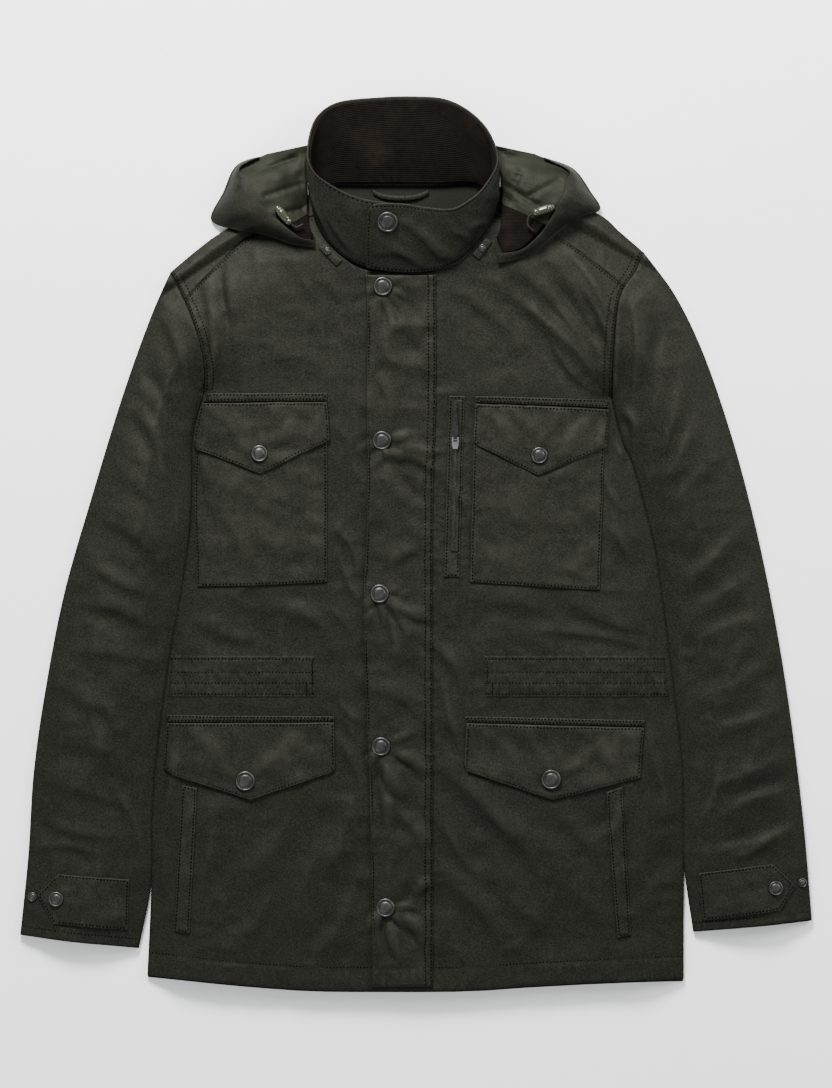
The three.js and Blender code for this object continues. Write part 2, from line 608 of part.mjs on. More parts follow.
// What is sewn on the panels. Each piece has its top and bottom edge and its two sides, as x and y
const PANEL_PIECES = {
  chest_band_right: { off: OVER_POCKET, thick: PATCH, columns: 12, rows: 1,
    top: [[-202, 147], [-86, 147.5]], bottom: [[-207, 138.4], [-86, 139.4]] },
  chest_band_left: { off: OVER_POCKET, thick: PATCH, columns: 12, rows: 1,
    top: [[59, 144.6], [189, 140.8]], bottom: [[59, 137.9], [190, 132.6]] },
  chest_pocket_right: { off: LAY, thick: PATCH, columns: 9, rows: 11,
    top: [[-208, 133], [-86, 137]], bottom: [[-213, -42.6], [-159, -41.6], [-86, -38]],
    left: [[-208, 133], [-214, 103], [-215.5, 40], [-213, -42.6]] },
  chest_pocket_left: { off: LAY, thick: PATCH, columns: 9, rows: 11,
    top: [[58, 131], [186, 131]], bottom: [[53.5, -38], [168, -45.5], [181, -45.6]] },
  chest_flap_right: { off: 2 * LAY + PATCH, thick: PATCH, columns: 8, rows: 6,
    top: [[-207, 137], [-150, 138], [-86, 138.5]], bottom: [[-211.5, 91.5], [-151, 68], [-83.5, 101]],
    left: [[-207, 137], [-213, 117], [-215.5, 98], [-211.5, 91.5]],
    right: [[-86, 138.5], [-84.3, 117], [-83.5, 101]] },
  chest_flap_left: { off: 2 * LAY + PATCH, thick: PATCH, columns: 8, rows: 6,
    top: [[59, 137], [121, 134.5], [189, 131.5]], bottom: [[61, 96], [120.5, 66], [186, 94]],
    left: [[59, 137], [57, 101], [61, 96]], right: [[189, 131.5], [188, 116], [186, 94]] },
  lower_band_right: { off: LAY, thick: PATCH, columns: 10, rows: 1,
    top: [[-243, -168], [-79, -169]], bottom: [[-243, -175.2], [-79, -174.3]] },
  lower_band_left: { off: LAY, thick: PATCH, columns: 10, rows: 1,
    top: [[48, -169], [225, -173]], bottom: [[50, -174.9], [224.4, -179.6]] },
  lower_flap_right: { off: LAY, thick: 2.0, columns: 10, rows: 6,
    top: [[-243, -175.9], [-160, -175.5], [-79, -174.9]],
    bottom: [[-235, -227.4], [-161, -251.4], [-83.3, -224.9]],
    left: [[-243, -175.9], [-246, -219.5], [-235, -227.4]],
    right: [[-79, -174.9], [-78, -221], [-83.3, -224.9]] },
  lower_flap_left: { off: LAY, thick: 2.0, columns: 10, rows: 6,
    top: [[50, -175.5], [135, -178], [224.4, -180.3]],
    bottom: [[51, -223.4], [135, -251.4], [220.5, -229.8]],
    left: [[50, -175.5], [48, -217], [51, -223.4]],
    right: [[224.4, -180.3], [222, -206], [220.5, -229.8]] },
  welt_right: { off: LAY, thick: PATCH, columns: 2, rows: 10,
    top: [[-228, -236.7], [-213, -239.6]], bottom: [[-236, -379.8], [-220.5, -382.7]] },
  welt_left: { off: LAY, thick: PATCH, columns: 2, rows: 10,
    top: [[187, -243.5], [203, -237.7]], bottom: [[198, -386.6], [211.7, -383.7]] },
  tunnel_right: { off: LAY, thick: 1.2, columns: 10, rows: 4,
    top: [[-237, -110], [-98, -110]], bottom: [[-242, -150.4], [-98, -150.4]] },
  tunnel_left: { off: LAY, thick: 1.2, columns: 11, rows: 4,
    top: [[67.6, -110], [244, -110]], bottom: [[67.6, -150.4], [249, -150.4]] },
  zip_panel: { off: LAY, thick: 1, columns: 2, rows: 12,
    top: [[33.3, 144.6], [49, 144.6]], bottom: [[28.4, -32.8], [43.1, -32.8]] },
  zip_tape: { off: LAY + 1 + SEAM, thick: 1, columns: 1, rows: 12,
    top: [[39.6, 140.6], [46.6, 140.6]], bottom: [[34.7, -8.3], [41.7, -8.3]] },
  cuff_tab_right: { off: LAY, thick: PATCH, columns: 6, rows: 4,
    top: [[-350, -324], [-280, -329]], bottom: [[-354, -373], [-282, -379]],
    left: [[-350, -324], [-370, -344.5], [-354, -373]] },
  cuff_tab_left: { off: LAY, thick: PATCH, columns: 6, rows: 4,
    top: [[278, -323], [350, -314]], bottom: [[283, -370], [357, -360]],
    right: [[350, -314], [373, -335.5], [357, -360]] },
  hood_tab_right: { off: LAY, thick: PATCH, columns: 4, rows: 2,
    top: [[-88.4, 293.6], [-71, 276.5]], bottom: [[-94, 288.5], [-77, 271]] },
  hood_tab_left: { off: LAY, thick: PATCH, columns: 4, rows: 2,
    top: [[69, 299.5], [56, 283]], bottom: [[75.5, 295], [62.5, 277.5]] },
};

for (const [name, piece] of Object.entries(PANEL_PIECES)) {
  const { off, thick, columns, rows, top, bottom } = piece;
  const left = piece.left ?? [top[0], bottom[0]];
  const right = piece.right ?? [top.at(-1), bottom.at(-1)];
  const grid = net(chain(top), chain(bottom), chain(left), chain(right), columns, rows);
  add(name, "trim", laid(grid, off, off + thick));
}

// The storm flap, over the edge where the fronts meet
const PLACKET = 2.6;
const placketFree = [[-49, 263], [-47, 207], [-48, 140], [-47, 72], [-48, 5], [-51, -50], [-49.5, -114],
  [-46, -219], [-44, -285], [-43, -350], [-42, -434]];
const placketSewn = [[20.6, 263], [20.6, 145], [17.6, 23], [17.6, -220], [17.6, -434]];

function placket() {
  const free = curve(placketFree);
  const sewn = curve(placketSewn);
  const grid = net(chain([free(0), sewn(0)]), chain([free(1), sewn(1)]), free, sewn, 4, 30);
  return laid(grid, LAY, LAY + PLACKET);
}

add("placket", "waxed", placket());

// The hanging loop inside the back of the neck
function hangerLoop() {
  const line = curve([[-41, 347], [-30, 342.5], [-14, 341], [2, 342.5], [13, 347]]);
  const outer = points(line, 10);
  return flat([...outer, ...outer.map(([x, y]) => [x, y - 4.5]).reverse()], CLOTH + SEAM, 1.4);
}

add("hanger_loop", "trim", hangerLoop());

// Press studs
const PLACKET_SNAPS = [[-31.6, 252], [-32, 101.7], [-34.3, -49.3], [-32.7, -198.4], [-28, -356.5]];
PLACKET_SNAPS.forEach((at, i) => capOn(`snap_placket_${i + 1}`, at, 2 * LAY + PLACKET));
const onChestFlap = 3 * LAY + 2 * PATCH;
capOn("snap_chest_right", [-152, 87.7], onChestFlap, 8.2);
capOn("snap_chest_left", [121.5, 86.3], onChestFlap, 8.2);
capOn("snap_lower_right", [-166, -232.2], 2 * LAY + 2, 9.8);
capOn("snap_lower_left", [133.6, -230.6], 2 * LAY + 2, 9.8);
capOn("snap_cuff_right", [-351, -348.4], 2 * LAY + PATCH, 7.4);
capOn("snap_cuff_left", [352.8, -337.6], 2 * LAY + PATCH, 7.1);
capOn("stud_cuff_right", [-375, -346.4], LAY, 4.6, 1.8);
capOn("stud_cuff_left", [379.6, -332.7], LAY, 4.4, 1.8);
capOn("stud_hood_right", [-85.5, 286], 2 * LAY + PATCH, 3.6, 1.6);
capOn("stud_hood_left", [66, 289], 2 * LAY + PATCH, 3.6, 1.6);
capOnCollar("snap_collar", 18.38, 0.76, 10.3, SNAP_H);

// Chest zip: a slider between whose lugs the pull tab hangs, laid up the zip at rest
const ZIP_X = 39.4;
const HINGE_Y = 101;
const SLIDER = 1.8; // thickness of its plate
const KNUCKLE = 1.3; // radius of the tab's root
const sliderZ = lifted(ZIP_X, 98, LAY + 2 + 3 * SEAM).at.z;
const hingeZ = sliderZ + SLIDER + SEAM + KNUCKLE;

function slider() {
  const plate = flat([[-3.4, 104], [3.4, 104], [3.4, 97], [2.2, 92.5], [-2.2, 92.5], [-3.4, 97]]
    .map(([x, y]) => [x + ZIP_X, y]), sliderZ, SLIDER);
  const lug = (side) => flat([[2.1, 103], [3.3, 103], [3.3, 99], [2.1, 99]]
    .map(([x, y]) => [ZIP_X + side * x, y]), sliderZ + SLIDER / 2, SLIDER / 2 + SEAM + 2.6);
  return fused([plate, lug(1), lug(-1)]);
}

// The tab, as distance from the hinge and half width
const PULL_ROWS = [[0, 1.6], [3.2, 1.6], [5, 2.9], [11, 2.9], [29, 1.6], [39, 1]];

function pull() {
  const tipZ = lifted(ZIP_X + 1.5, 140, LAY + 2 + 3 * SEAM).at.z + 0.6;
  const length = PULL_ROWS.at(-1)[0];
  const at = (off) => PULL_ROWS.map(([y, half]) => [-1, 1].map((side) => new THREE.Vector3(
    ZIP_X + side * half, HINGE_Y + y, hingeZ + (tipZ - hingeZ) * (y / length) + off)));
  const root = new THREE.CylinderGeometry(KNUCKLE, KNUCKLE, 3.6, 10)
    .rotateZ(Math.PI / 2).translate(ZIP_X, HINGE_Y, hingeZ);
  return fused([root, between(at(0.6), at(-0.6))]);
}

add("zip_slider", "bright", slider());
add("zip_pull", "bright", pull());

// The hood's drawcord locks, with the short ends of cord that show
const CORD_R = 1.2;
const LOCK = [[0, -11], [2.6, -11], [4, -8], [4.2, 0], [4, 8], [2.6, 11], [0, 11]]; // radius, along

function cordLock(name, [x, y, z], turn) {
  const profile = LOCK.map(([r, h]) => new THREE.Vector2(r, h));
  const mesh = add(name, "plastic", new THREE.LatheGeometry(profile, 12));
  mesh.position.set(x, y, z);
  mesh.rotation.z = turn;
}

function cordEnd(name, route) {
  const section = new THREE.Shape(points((t) => 2 * Math.PI * t, 8).slice(1).map((turn) =>
    new THREE.Vector2(CORD_R * Math.cos(turn), CORD_R * Math.sin(turn))));
  const path = new THREE.CatmullRomCurve3(route.map((p) => new THREE.Vector3(...p)));
  add(name, "trim", new THREE.ExtrudeGeometry(section, { steps: 10, extrudePath: path, bevelEnabled: false }));
}

cordLock("cord_lock_right", [-128.4, 320.4, 30.7], (40 * Math.PI) / 180);
cordLock("cord_lock_left", [125.5, 325.5, 31.6], (-72 * Math.PI) / 180);
cordEnd("hood_cord_right", [[-120.6, 311.6, 30.7], [-116, 309, 30.5], [-109, 312, 29.8]]);
cordEnd("hood_cord_left", [[114.3, 321.8, 31.6], [110.5, 318, 31.5], [110.5, 310.5, 31.2], [115.5, 305.5, 30.2]]);

export default jacket;
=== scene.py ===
"""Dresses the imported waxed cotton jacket: creased cloth, seams, quilting, zip, press studs and cords.

Blender 4.5. The pattern is drawn in millimetres, as the jacket is cut, and piece() turns it to metres.
X runs across the jacket, Y up to its collar and Z out of its front. Right and left are the wearer's.
"""
import math

import bpy
import numpy as np
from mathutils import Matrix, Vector


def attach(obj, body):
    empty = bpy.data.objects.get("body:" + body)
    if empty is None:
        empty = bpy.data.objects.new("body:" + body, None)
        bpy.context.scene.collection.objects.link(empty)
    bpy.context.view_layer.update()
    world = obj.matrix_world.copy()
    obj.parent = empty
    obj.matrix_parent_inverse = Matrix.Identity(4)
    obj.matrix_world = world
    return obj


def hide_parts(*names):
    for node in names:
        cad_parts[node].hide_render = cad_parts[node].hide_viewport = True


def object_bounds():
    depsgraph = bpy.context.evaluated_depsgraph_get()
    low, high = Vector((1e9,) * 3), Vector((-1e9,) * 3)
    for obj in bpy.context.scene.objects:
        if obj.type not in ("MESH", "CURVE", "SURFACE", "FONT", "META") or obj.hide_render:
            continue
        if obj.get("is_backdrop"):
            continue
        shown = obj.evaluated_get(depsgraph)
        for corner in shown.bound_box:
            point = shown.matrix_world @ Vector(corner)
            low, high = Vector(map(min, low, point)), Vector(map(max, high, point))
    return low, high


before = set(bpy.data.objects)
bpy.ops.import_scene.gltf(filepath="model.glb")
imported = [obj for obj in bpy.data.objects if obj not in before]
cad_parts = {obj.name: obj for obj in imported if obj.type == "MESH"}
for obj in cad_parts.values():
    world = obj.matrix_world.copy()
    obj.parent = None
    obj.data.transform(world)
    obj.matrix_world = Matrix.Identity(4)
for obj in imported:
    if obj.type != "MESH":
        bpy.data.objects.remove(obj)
cad_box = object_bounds()

MM = 0.001

# Camera, straight above as in the photograph
FRAME_TALL = 1.0662  # metres of the jacket's plane that the picture's height covers
LENS = 200
SENSOR = 36
PLANE_Z = 0.012
camera = bpy.data.objects.new("camera", bpy.data.cameras.new("camera"))
bpy.context.scene.collection.objects.link(camera)
camera.data.lens = LENS
camera.data.sensor_width = SENSOR
camera.data.clip_end = 100
camera.location = (0.00098, -0.00049, PLANE_Z + FRAME_TALL * LENS / SENSOR)
bpy.context.scene.camera = camera

# Measures of the cloth
CLOTH = 1.1  # one wall of waxed cotton
PATCH = 1.6  # a folded pocket, flap or welt
LAY = 0.6  # between a panel and what is sewn on it
SEAM = 0.3
EDGE = 4.6
LOFT = 17
HEM_LOFT = 11
ROUND = 55
CENTRE = -14.7
HEM_Y = -438
CHEST_Y = 150
FINE = 2.6  # spacing of a panel's net

# Outlines, as x and y of the points that a curve runs through
shoulder_right = [(-239, 266), (-214, 287), (-189, 305), (-142, 329), (-101, 342)]
shoulder_left = [(223, 286), (201, 305), (179, 323), (127, 341), (80, 350)]
armhole_right = [(-239, 266), (-226, 239), (-215, 212), (-209, 190), (-206, 169), (-207, 148)]
armhole_left = [(223, 286), (216, 268), (202, 246), (197, 223), (194, 185), (193, 143)]
sleeve_right_outer = [(-239, 266), (-258, 224), (-286, 146), (-316, 48), (-344, -50),
                      (-363, -148), (-374, -227), (-379, -305), (-387, -384)]
sleeve_left_outer = [(223, 286), (255, 243), (283, 185), (310, 106), (331, 28), (348, -50),
                     (362, -129), (373, -207), (382, -286), (389, -370)]
sleeve_right_inner = [(-207, 148), (-218, 101), (-220, 23), (-229, -46), (-241, -114),
                      (-253, -206), (-258, -272), (-259, -333), (-271, -397)]
sleeve_left_inner = [(193, 143), (203, 101), (215, 72), (233, 5), (239, -29), (250, -114),
                     (260, -198), (263, -246), (263, -302), (266, -334), (273, -381)]
side_right = [(-207, 148), (-218, 101), (-220, 23), (-229, -46), (-241, -114), (-253, -206),
              (-258, -272), (-258, -333), (-262, -423)]
side_left = [(193, 143), (203, 101), (215, 72), (233, 5), (239, -29), (250, -114), (260, -198),
             (263, -246), (263, -333), (263, -427)]
cuff_right = [(-387, -384), (-340, -390), (-299, -394), (-271, -397)]
cuff_left = [(389, -370), (350, -374), (318, -377), (273, -381)]
hem_right = [(-262, -423), (-211, -428), (-152, -433.5), (-93, -437), (CENTRE, -437.5)]
hem_left = [(263, -427), (201, -428.5), (113, -433), (50, -437), (CENTRE, -437.5)]
forward_seam_right = [(-168, 297), (-127, 313), (-96, 321)]
forward_seam_left = [(146, 297), (107, 311), (74, 323)]
SEAM_DOWN_RIGHT = 0.242
SEAM_DOWN_LEFT = 0.265
neck_right = [(-96, 321), (-87, 297), (-71, 280), (-50, 268), (CENTRE, 263)]
neck_left = [(74, 323), (55, 288), (39, 272), (14, 265), (CENTRE, 263)]
back_neck = [(-101, 342), (-80, 348), (-14, 348), (58, 349), (80, 350)]


# Curves take an array of shares of their length and give x and y
def curve(points):
    """The smooth curve through points, evenly paced along its length."""
    p = np.array(points, float)
    padded = np.vstack([2 * p[0] - p[1], p, 2 * p[-1] - p[-2]])
    padded[0], padded[-1] = p[0], p[-1]
    t = np.linspace(0, len(p) - 1, 40 * (len(p) - 1) + 1)
    i = np.minimum(t.astype(int), len(p) - 2)
    f = (t - i)[:, None]
    a, b, c, d = (padded[i + k] for k in range(4))
    dense = b + 0.5 * f * (c - a + f * (2 * a - 5 * b + 4 * c - d + f * (3 * (b - c) + d - a)))
    return paced(dense)


def paced(dense):
    way = np.concatenate([[0], np.cumsum(np.linalg.norm(np.diff(dense, axis=0), axis=1))])
    way /= way[-1]
    return lambda t: np.stack([np.interp(t, way, dense[:, k]) for k in range(dense.shape[1])], -1)


def chain(points):
    """Straight runs between points, with as many steps on each."""
    p = np.array(points, float)
    at = np.linspace(0, 1, len(p))
    return lambda t: np.stack([np.interp(t, at, p[:, k]) for k in range(p.shape[1])], -1)


def joined(first, second, share):
    """Two curves end to end, the first taking the share of the way given."""
    def line(t):
        t = np.asarray(t, float)
        early = first(np.clip(t / share, 0, 1))
        late = second(np.clip((t - share) / (1 - share), 0, 1))
        return np.where((t < share)[..., None], early, late)
    return line


def part(line, start, end):
    return lambda t: line(start + (end - start) * np.asarray(t, float))


def moved(line, x, y):
    return lambda t: line(t) + (x, y)


def steps(count, low=0.0, high=1.0):
    return np.linspace(low, high, count + 1)


def net(top, bottom, left, right, us, vs):
    """A net of rows and columns between four border curves."""
    u, v = us[None, :, None], vs[:, None, None]
    ends = np.array([0.0, 1.0])
    t, b = top(ends), bottom(ends)
    return ((1 - v) * top(us)[None] + v * bottom(us)[None]
            + (1 - u) * left(vs)[:, None] + u * right(vs)[:, None]
            - (1 - u) * (1 - v) * t[0] - u * (1 - v) * t[1] - (1 - u) * v * b[0] - u * v * b[1])


def smooth(t):
    t = np.clip(t, 0, 1)
    return t * t * (3 - 2 * t)


# The lie of the upper layer of cloth, kept on a raster of one millimetre
WEST, EAST, SOUTH, NORTH = -402, 402, -452, 452
grid_x, grid_y = np.meshgrid(np.arange(WEST, EAST + 1.0), np.arange(SOUTH, NORTH + 1.0))


def off_segment(x, y, start, end):
    """The distance from a straight run, how far along it is, and on which side."""
    dx, dy = end[0] - start[0], end[1] - start[1]
    square = dx * dx + dy * dy
    t = np.clip(((x - start[0]) * dx + (y - start[1]) * dy) / square, 0, 1)
    off_x, off_y = x - start[0] - t * dx, y - start[1] - t * dy
    return np.hypot(off_x, off_y), t, np.sign(dx * off_y - dy * off_x)


def low_edges():
    """The folded edges, along which the upper layer comes down to the back."""
    return [
        np.vstack([curve(shoulder_right)(steps(12)), curve(sleeve_right_outer)(steps(24))[1:]]),
        np.vstack([curve(shoulder_left)(steps(12)), curve(sleeve_left_outer)(steps(24))[1:]]),
        curve(side_right)(steps(24)),
        curve(side_left)(steps(24)),
        curve(sleeve_right_inner)(steps(4, 0.85, 1)),
        curve(sleeve_left_inner)(steps(4, 0.85, 1)),
    ]


FOLDS = [
    ((132, 262), (188, 172), 13, -2.6), ((108, 238), (184, 158), 12, 2.4),
    ((152, 285), (196, 200), 12, 2.2), ((60, 250), (150, 168), 16, -1.4),
    ((-196, 250), (-186, 160), 13, -2.2), ((-172, 262), (-150, 160), 17, 1.6),
    ((-216, -60), (-110, -100), 17, -1.6), ((100, -60), (230, -92), 17, -1.5),
    ((70, -262), (196, -352), 20, 1.8), ((-200, -270), (-90, -372), 21, 1.5),
    ((-262, 176), (-226, 60), 15, -2.4), ((-300, 62), (-236, -18), 15, 2.0),
    ((-334, -44), (-262, -104), 16, -2.0), ((-352, -170), (-276, -226), 15, 1.8),
    ((238, 214), (226, 96), 15, -2.6), ((286, 92), (250, -8), 16, 2.0),
    ((336, -36), (268, -116), 16, -2.0), ((362, -190), (284, -238), 15, 1.8),
    ((366, -262), (292, -292), 13, -1.6),
]


def lie_of_cloth():
    away = np.full(grid_x.shape, np.inf)
    for edge in low_edges():
        for start, end in zip(edge[:-1], edge[1:]):
            away = np.minimum(away, off_segment(grid_x, grid_y, start, end)[0])
    lower = smooth((CHEST_Y - grid_y) / (CHEST_Y - HEM_Y))
    loft = LOFT + (HEM_LOFT - LOFT) * lower
    z = EDGE + loft * np.sin(math.pi / 2 * np.minimum(1, away / ROUND))
    inner = np.minimum(1, away / 20)
    for start, end, width, rise in FOLDS:
        off, t, _ = off_segment(grid_x, grid_y, start, end)
        z += inner * rise * np.exp(-(off / width) ** 2) * (0.35 + 0.65 * np.sin(math.pi * t))
    return z, away


lie, edge_away = lie_of_cloth()


def window(points, reach):
    """The part of the raster within reach of some points."""
    low, high = np.min(points, 0) - reach, np.max(points, 0) + reach
    xs = slice(max(0, int(low[0]) - WEST), max(1, int(high[0]) - WEST + 2))
    ys = slice(max(0, int(low[1]) - SOUTH), max(1, int(high[1]) - SOUTH + 2))
    return ys, xs


def crease(relief, start, end, width, rise, bow=0.0, lean=0.5):
    """A soft fold from start to end, bowed to one side. It falls away faster on the side it leans to,
    and a shallow trough or ridge of the other sign runs beside it."""
    start, end = np.array(start, float), np.array(end, float)
    way = end - start
    side = np.array([-way[1], way[0]])
    bent = np.array([start, start + way * 0.3 + side * bow * 0.8,
                     start + way * 0.65 + side * bow, end])
    line = curve(bent)(steps(10))
    ys, xs = window(line, 4 * width)
    x, y = grid_x[ys, xs], grid_y[ys, xs]
    best = np.full(x.shape, np.inf)
    along, hand = np.zeros(x.shape), np.zeros(x.shape)
    for k in range(10):
        off, t, turn = off_segment(x, y, line[k], line[k + 1])
        nearer = off < best
        best = np.where(nearer, off, best)
        along = np.where(nearer, (k + t) / 10, along)
        hand = np.where(nearer, turn, hand)
    off = best * hand
    broad = np.where(off > 0, width * (1 + lean), width * (1 - 0.5 * lean))
    ridge = np.exp(-(off / broad) ** 2)
    beside = np.exp(-((off + 1.9 * width) / (1.1 * width)) ** 2)
    fade = np.sin(math.pi * np.clip(along, 0.02, 0.98)) ** 0.7
    relief[ys, xs] += rise * fade * (ridge - 0.45 * beside)


def seam_groove(relief, line, depth=0.5, width=1.3):
    """The line that a row of stitches draws the cloth down to."""
    for start, end in zip(line[:-1], line[1:]):
        ys, xs = window([start, end], 4 * width)
        off, t, _ = off_segment(grid_x[ys, xs], grid_y[ys, xs], start, end)
        share = np.exp(-(off / width) ** 2)
        relief[ys, xs] = np.minimum(relief[ys, xs], relief[ys, xs] * (1 - share) + share * -depth)


def puckers(relief, line, seed, rise=0.35, reach=9.0, pitch=7.0, lean=0.0):
    """Small ripples across a seam, unevenly spaced and long."""
    draw = np.random.default_rng(seed)
    line = np.array(line, float)
    length = np.linalg.norm(np.diff(line, axis=0), axis=1).sum()
    run = paced(line)
    at = pitch * 0.5
    while at < length - 2:
        here, ahead = run(np.array([at, at + 1]) / length)
        tangent = (ahead - here) / max(np.linalg.norm(ahead - here), 1e-6)
        tilt = lean + draw.normal(0, 0.35)
        across = np.array([-tangent[1], tangent[0]]) + tangent * tilt
        long = reach * draw.uniform(0.5, 1.25)
        shift = draw.uniform(-0.25, 0.25) * long
        crease(relief, here - across * (long / 2 + shift), here + across * (long / 2 - shift),
               draw.uniform(1.3, 2.3), rise * draw.uniform(0.5, 1.2), 0, 0.2)
        at += pitch * draw.uniform(0.6, 1.5)


def star(relief, at, radius, seed, rise=0.7, count=7, first=0.0, span=2 * math.pi):
    """Puckers that run out from a press stud."""
    draw = np.random.default_rng(seed)
    for k in range(count):
        turn = first + span * (k + draw.uniform(-0.3, 0.3)) / count
        way = np.array([math.cos(turn), math.sin(turn)])
        long = radius * draw.uniform(0.6, 1.3)
        crease(relief, at + way * 7, at + way * (7 + long), draw.uniform(2.0, 3.6),
               rise * draw.uniform(0.5, 1.1) * draw.choice([1, 1, -0.8]), draw.uniform(-0.12, 0.12))


def rumple(cell, seed):
    """Smooth seeded noise over the raster, about one high and low per two cells."""
    draw = np.random.default_rng(seed)
    rows, columns = int((NORTH - SOUTH) / cell) + 4, int((EAST - WEST) / cell) + 4
    knots = draw.normal(0, 1, (rows, columns))
    fx, fy = (grid_x - WEST) / cell, (grid_y - SOUTH) / cell
    ix, iy = fx.astype(int), fy.astype(int)
    sx, sy = smooth(fx - ix), smooth(fy - iy)
    near = knots[iy, ix] * (1 - sx) + knots[iy, ix + 1] * sx
    far = knots[iy + 1, ix] * (1 - sx) + knots[iy + 1, ix + 1] * sx
    return near * (1 - sy) + far * sy


def sample(raster, x, y):
    fx = np.clip(x - WEST, 0, raster.shape[1] - 1.001)
    fy = np.clip(y - SOUTH, 0, raster.shape[0] - 1.001)
    ix, iy = fx.astype(int), fy.astype(int)
    sx, sy = fx - ix, fy - iy
    return ((raster[iy, ix] * (1 - sx) + raster[iy, ix + 1] * sx) * (1 - sy)
            + (raster[iy + 1, ix] * (1 - sx) + raster[iy + 1, ix + 1] * sx) * sy)


def lifted(xy, off, relief=None):
    """Points at x and y moved out of the upper layer along its normal, and the normals."""
    x, y = xy[..., 0], xy[..., 1]
    slope_x = (sample(surface, x + 1, y) - sample(surface, x - 1, y)) / 2
    slope_y = (sample(surface, x, y + 1) - sample(surface, x, y - 1)) / 2
    normal = np.stack([-slope_x, -slope_y, np.ones_like(x)], -1)
    normal /= np.linalg.norm(normal, axis=-1, keepdims=True)
    extra = np.asarray(off, float) + (0 if relief is None else sample(relief, x, y))
    at = np.stack([x, y, sample(surface, x, y)], -1) + normal * extra[..., None]
    return at, normal


# Materials
def node(tree, kind, inputs=None, **settings):
    """A shader node, with what its inputs take: a number, a colour or another node's socket."""
    made = tree.nodes.new(kind)
    for key, value in settings.items():
        setattr(made, key, value)
    for key, value in (inputs or {}).items():
        if isinstance(value, bpy.types.NodeSocket):
            tree.links.new(value, made.inputs[key])
        else:
            made.inputs[key].default_value = value
    return made


def effect(name, inputs, outputs):
    """An empty node group with its inputs, given as (name, value), and outputs, given as (name, kind)."""
    tree = bpy.data.node_groups.new(name, "ShaderNodeTree")
    for label, value in inputs:
        socket = tree.interface.new_socket(label, in_out="INPUT", socket_type="NodeSocketFloat")
        socket.default_value = value
    for label, kind in outputs:
        tree.interface.new_socket(label, in_out="OUTPUT", socket_type=kind)
    return tree, tree.nodes.new("NodeGroupInput").outputs, tree.nodes.new("NodeGroupOutput").inputs


def place(tree):
    return tree.nodes.new("ShaderNodeTexCoord").outputs["Object"]


def weave_effect():
    """Plain weave: threads that cross at right angles."""
    tree, given, out = effect("weave", [("Thread", 0.0011)], [("Height", "NodeSocketFloat")])
    scale = node(tree, "ShaderNodeMath", {0: 0.314, 1: given["Thread"]}, operation="DIVIDE").outputs[0]
    bands = [node(tree, "ShaderNodeTexWave", {"Vector": place(tree), "Scale": scale, "Distortion": 0.6,
                                              "Detail": 1.0, "Detail Scale": 0.4},
                  bands_direction=way).outputs["Fac"] for way in "XY"]
    both = node(tree, "ShaderNodeMath", {0: bands[0], 1: bands[1]}, operation="MAXIMUM")
    tree.links.new(both.outputs[0], out["Height"])
    return tree


def mottle_effect():
    """How unevenly the wax has soaked in and rubbed off: broad clouds with finer ones in them. On the corduroy the same
    clouds are painted shade of soft folds.
    """
    tree, given, out = effect("wax mottle and painted fold shade", [("Scale", 9.0)], [("Mask", "NodeSocketFloat")])
    broad = node(tree, "ShaderNodeTexNoise", {"Vector": place(tree), "Scale": given["Scale"], "Detail": 5.0,
                                              "Roughness": 0.62})
    finer = node(tree, "ShaderNodeMath", {0: given["Scale"], 1: 11.0}, operation="MULTIPLY")
    small = node(tree, "ShaderNodeTexNoise", {"Vector": place(tree), "Scale": finer.outputs[0], "Detail": 3.0})
    mixed = node(tree, "ShaderNodeMath", {0: broad.outputs["Fac"], 1: small.outputs["Fac"]}, operation="ADD")
    spread = node(tree, "ShaderNodeMapRange", {"Value": mixed.outputs[0], "From Min": 0.62, "From Max": 1.38})
    tree.links.new(spread.outputs[0], out["Mask"])
    return tree


def grain_effect():
    """The fine grain of a close cloth, as a height and as a speckle of its colour."""
    tree, given, out = effect("cloth grain", [("Scale", 900.0)],
                              [("Height", "NodeSocketFloat"), ("Speckle", "NodeSocketFloat")])
    fine = node(tree, "ShaderNodeTexNoise", {"Vector": place(tree), "Scale": given["Scale"], "Detail": 2.0,
                                             "Roughness": 0.7})
    tree.links.new(fine.outputs["Fac"], out["Height"])
    spread = node(tree, "ShaderNodeMapRange", {"Value": fine.outputs["Fac"], "From Min": 0.3, "From Max": 0.7})
    tree.links.new(spread.outputs[0], out["Speckle"])
    return tree


def crumple_effect():
    """The net of hair-fine creases that waxed cloth keeps."""
    tree, given, out = effect("crumple", [("Scale", 42.0)], [("Height", "NodeSocketFloat")])
    ridges = node(tree, "ShaderNodeTexNoise", {"Vector": place(tree), "Scale": given["Scale"], "Detail": 3.0,
                                               "Roughness": 0.5, "Distortion": 0.7},
                  noise_type="RIDGED_MULTIFRACTAL")
    soft = node(tree, "ShaderNodeMapRange", {"Value": ridges.outputs["Fac"], "From Min": 0.0, "From Max": 1.6})
    tree.links.new(soft.outputs[0], out["Height"])
    return tree


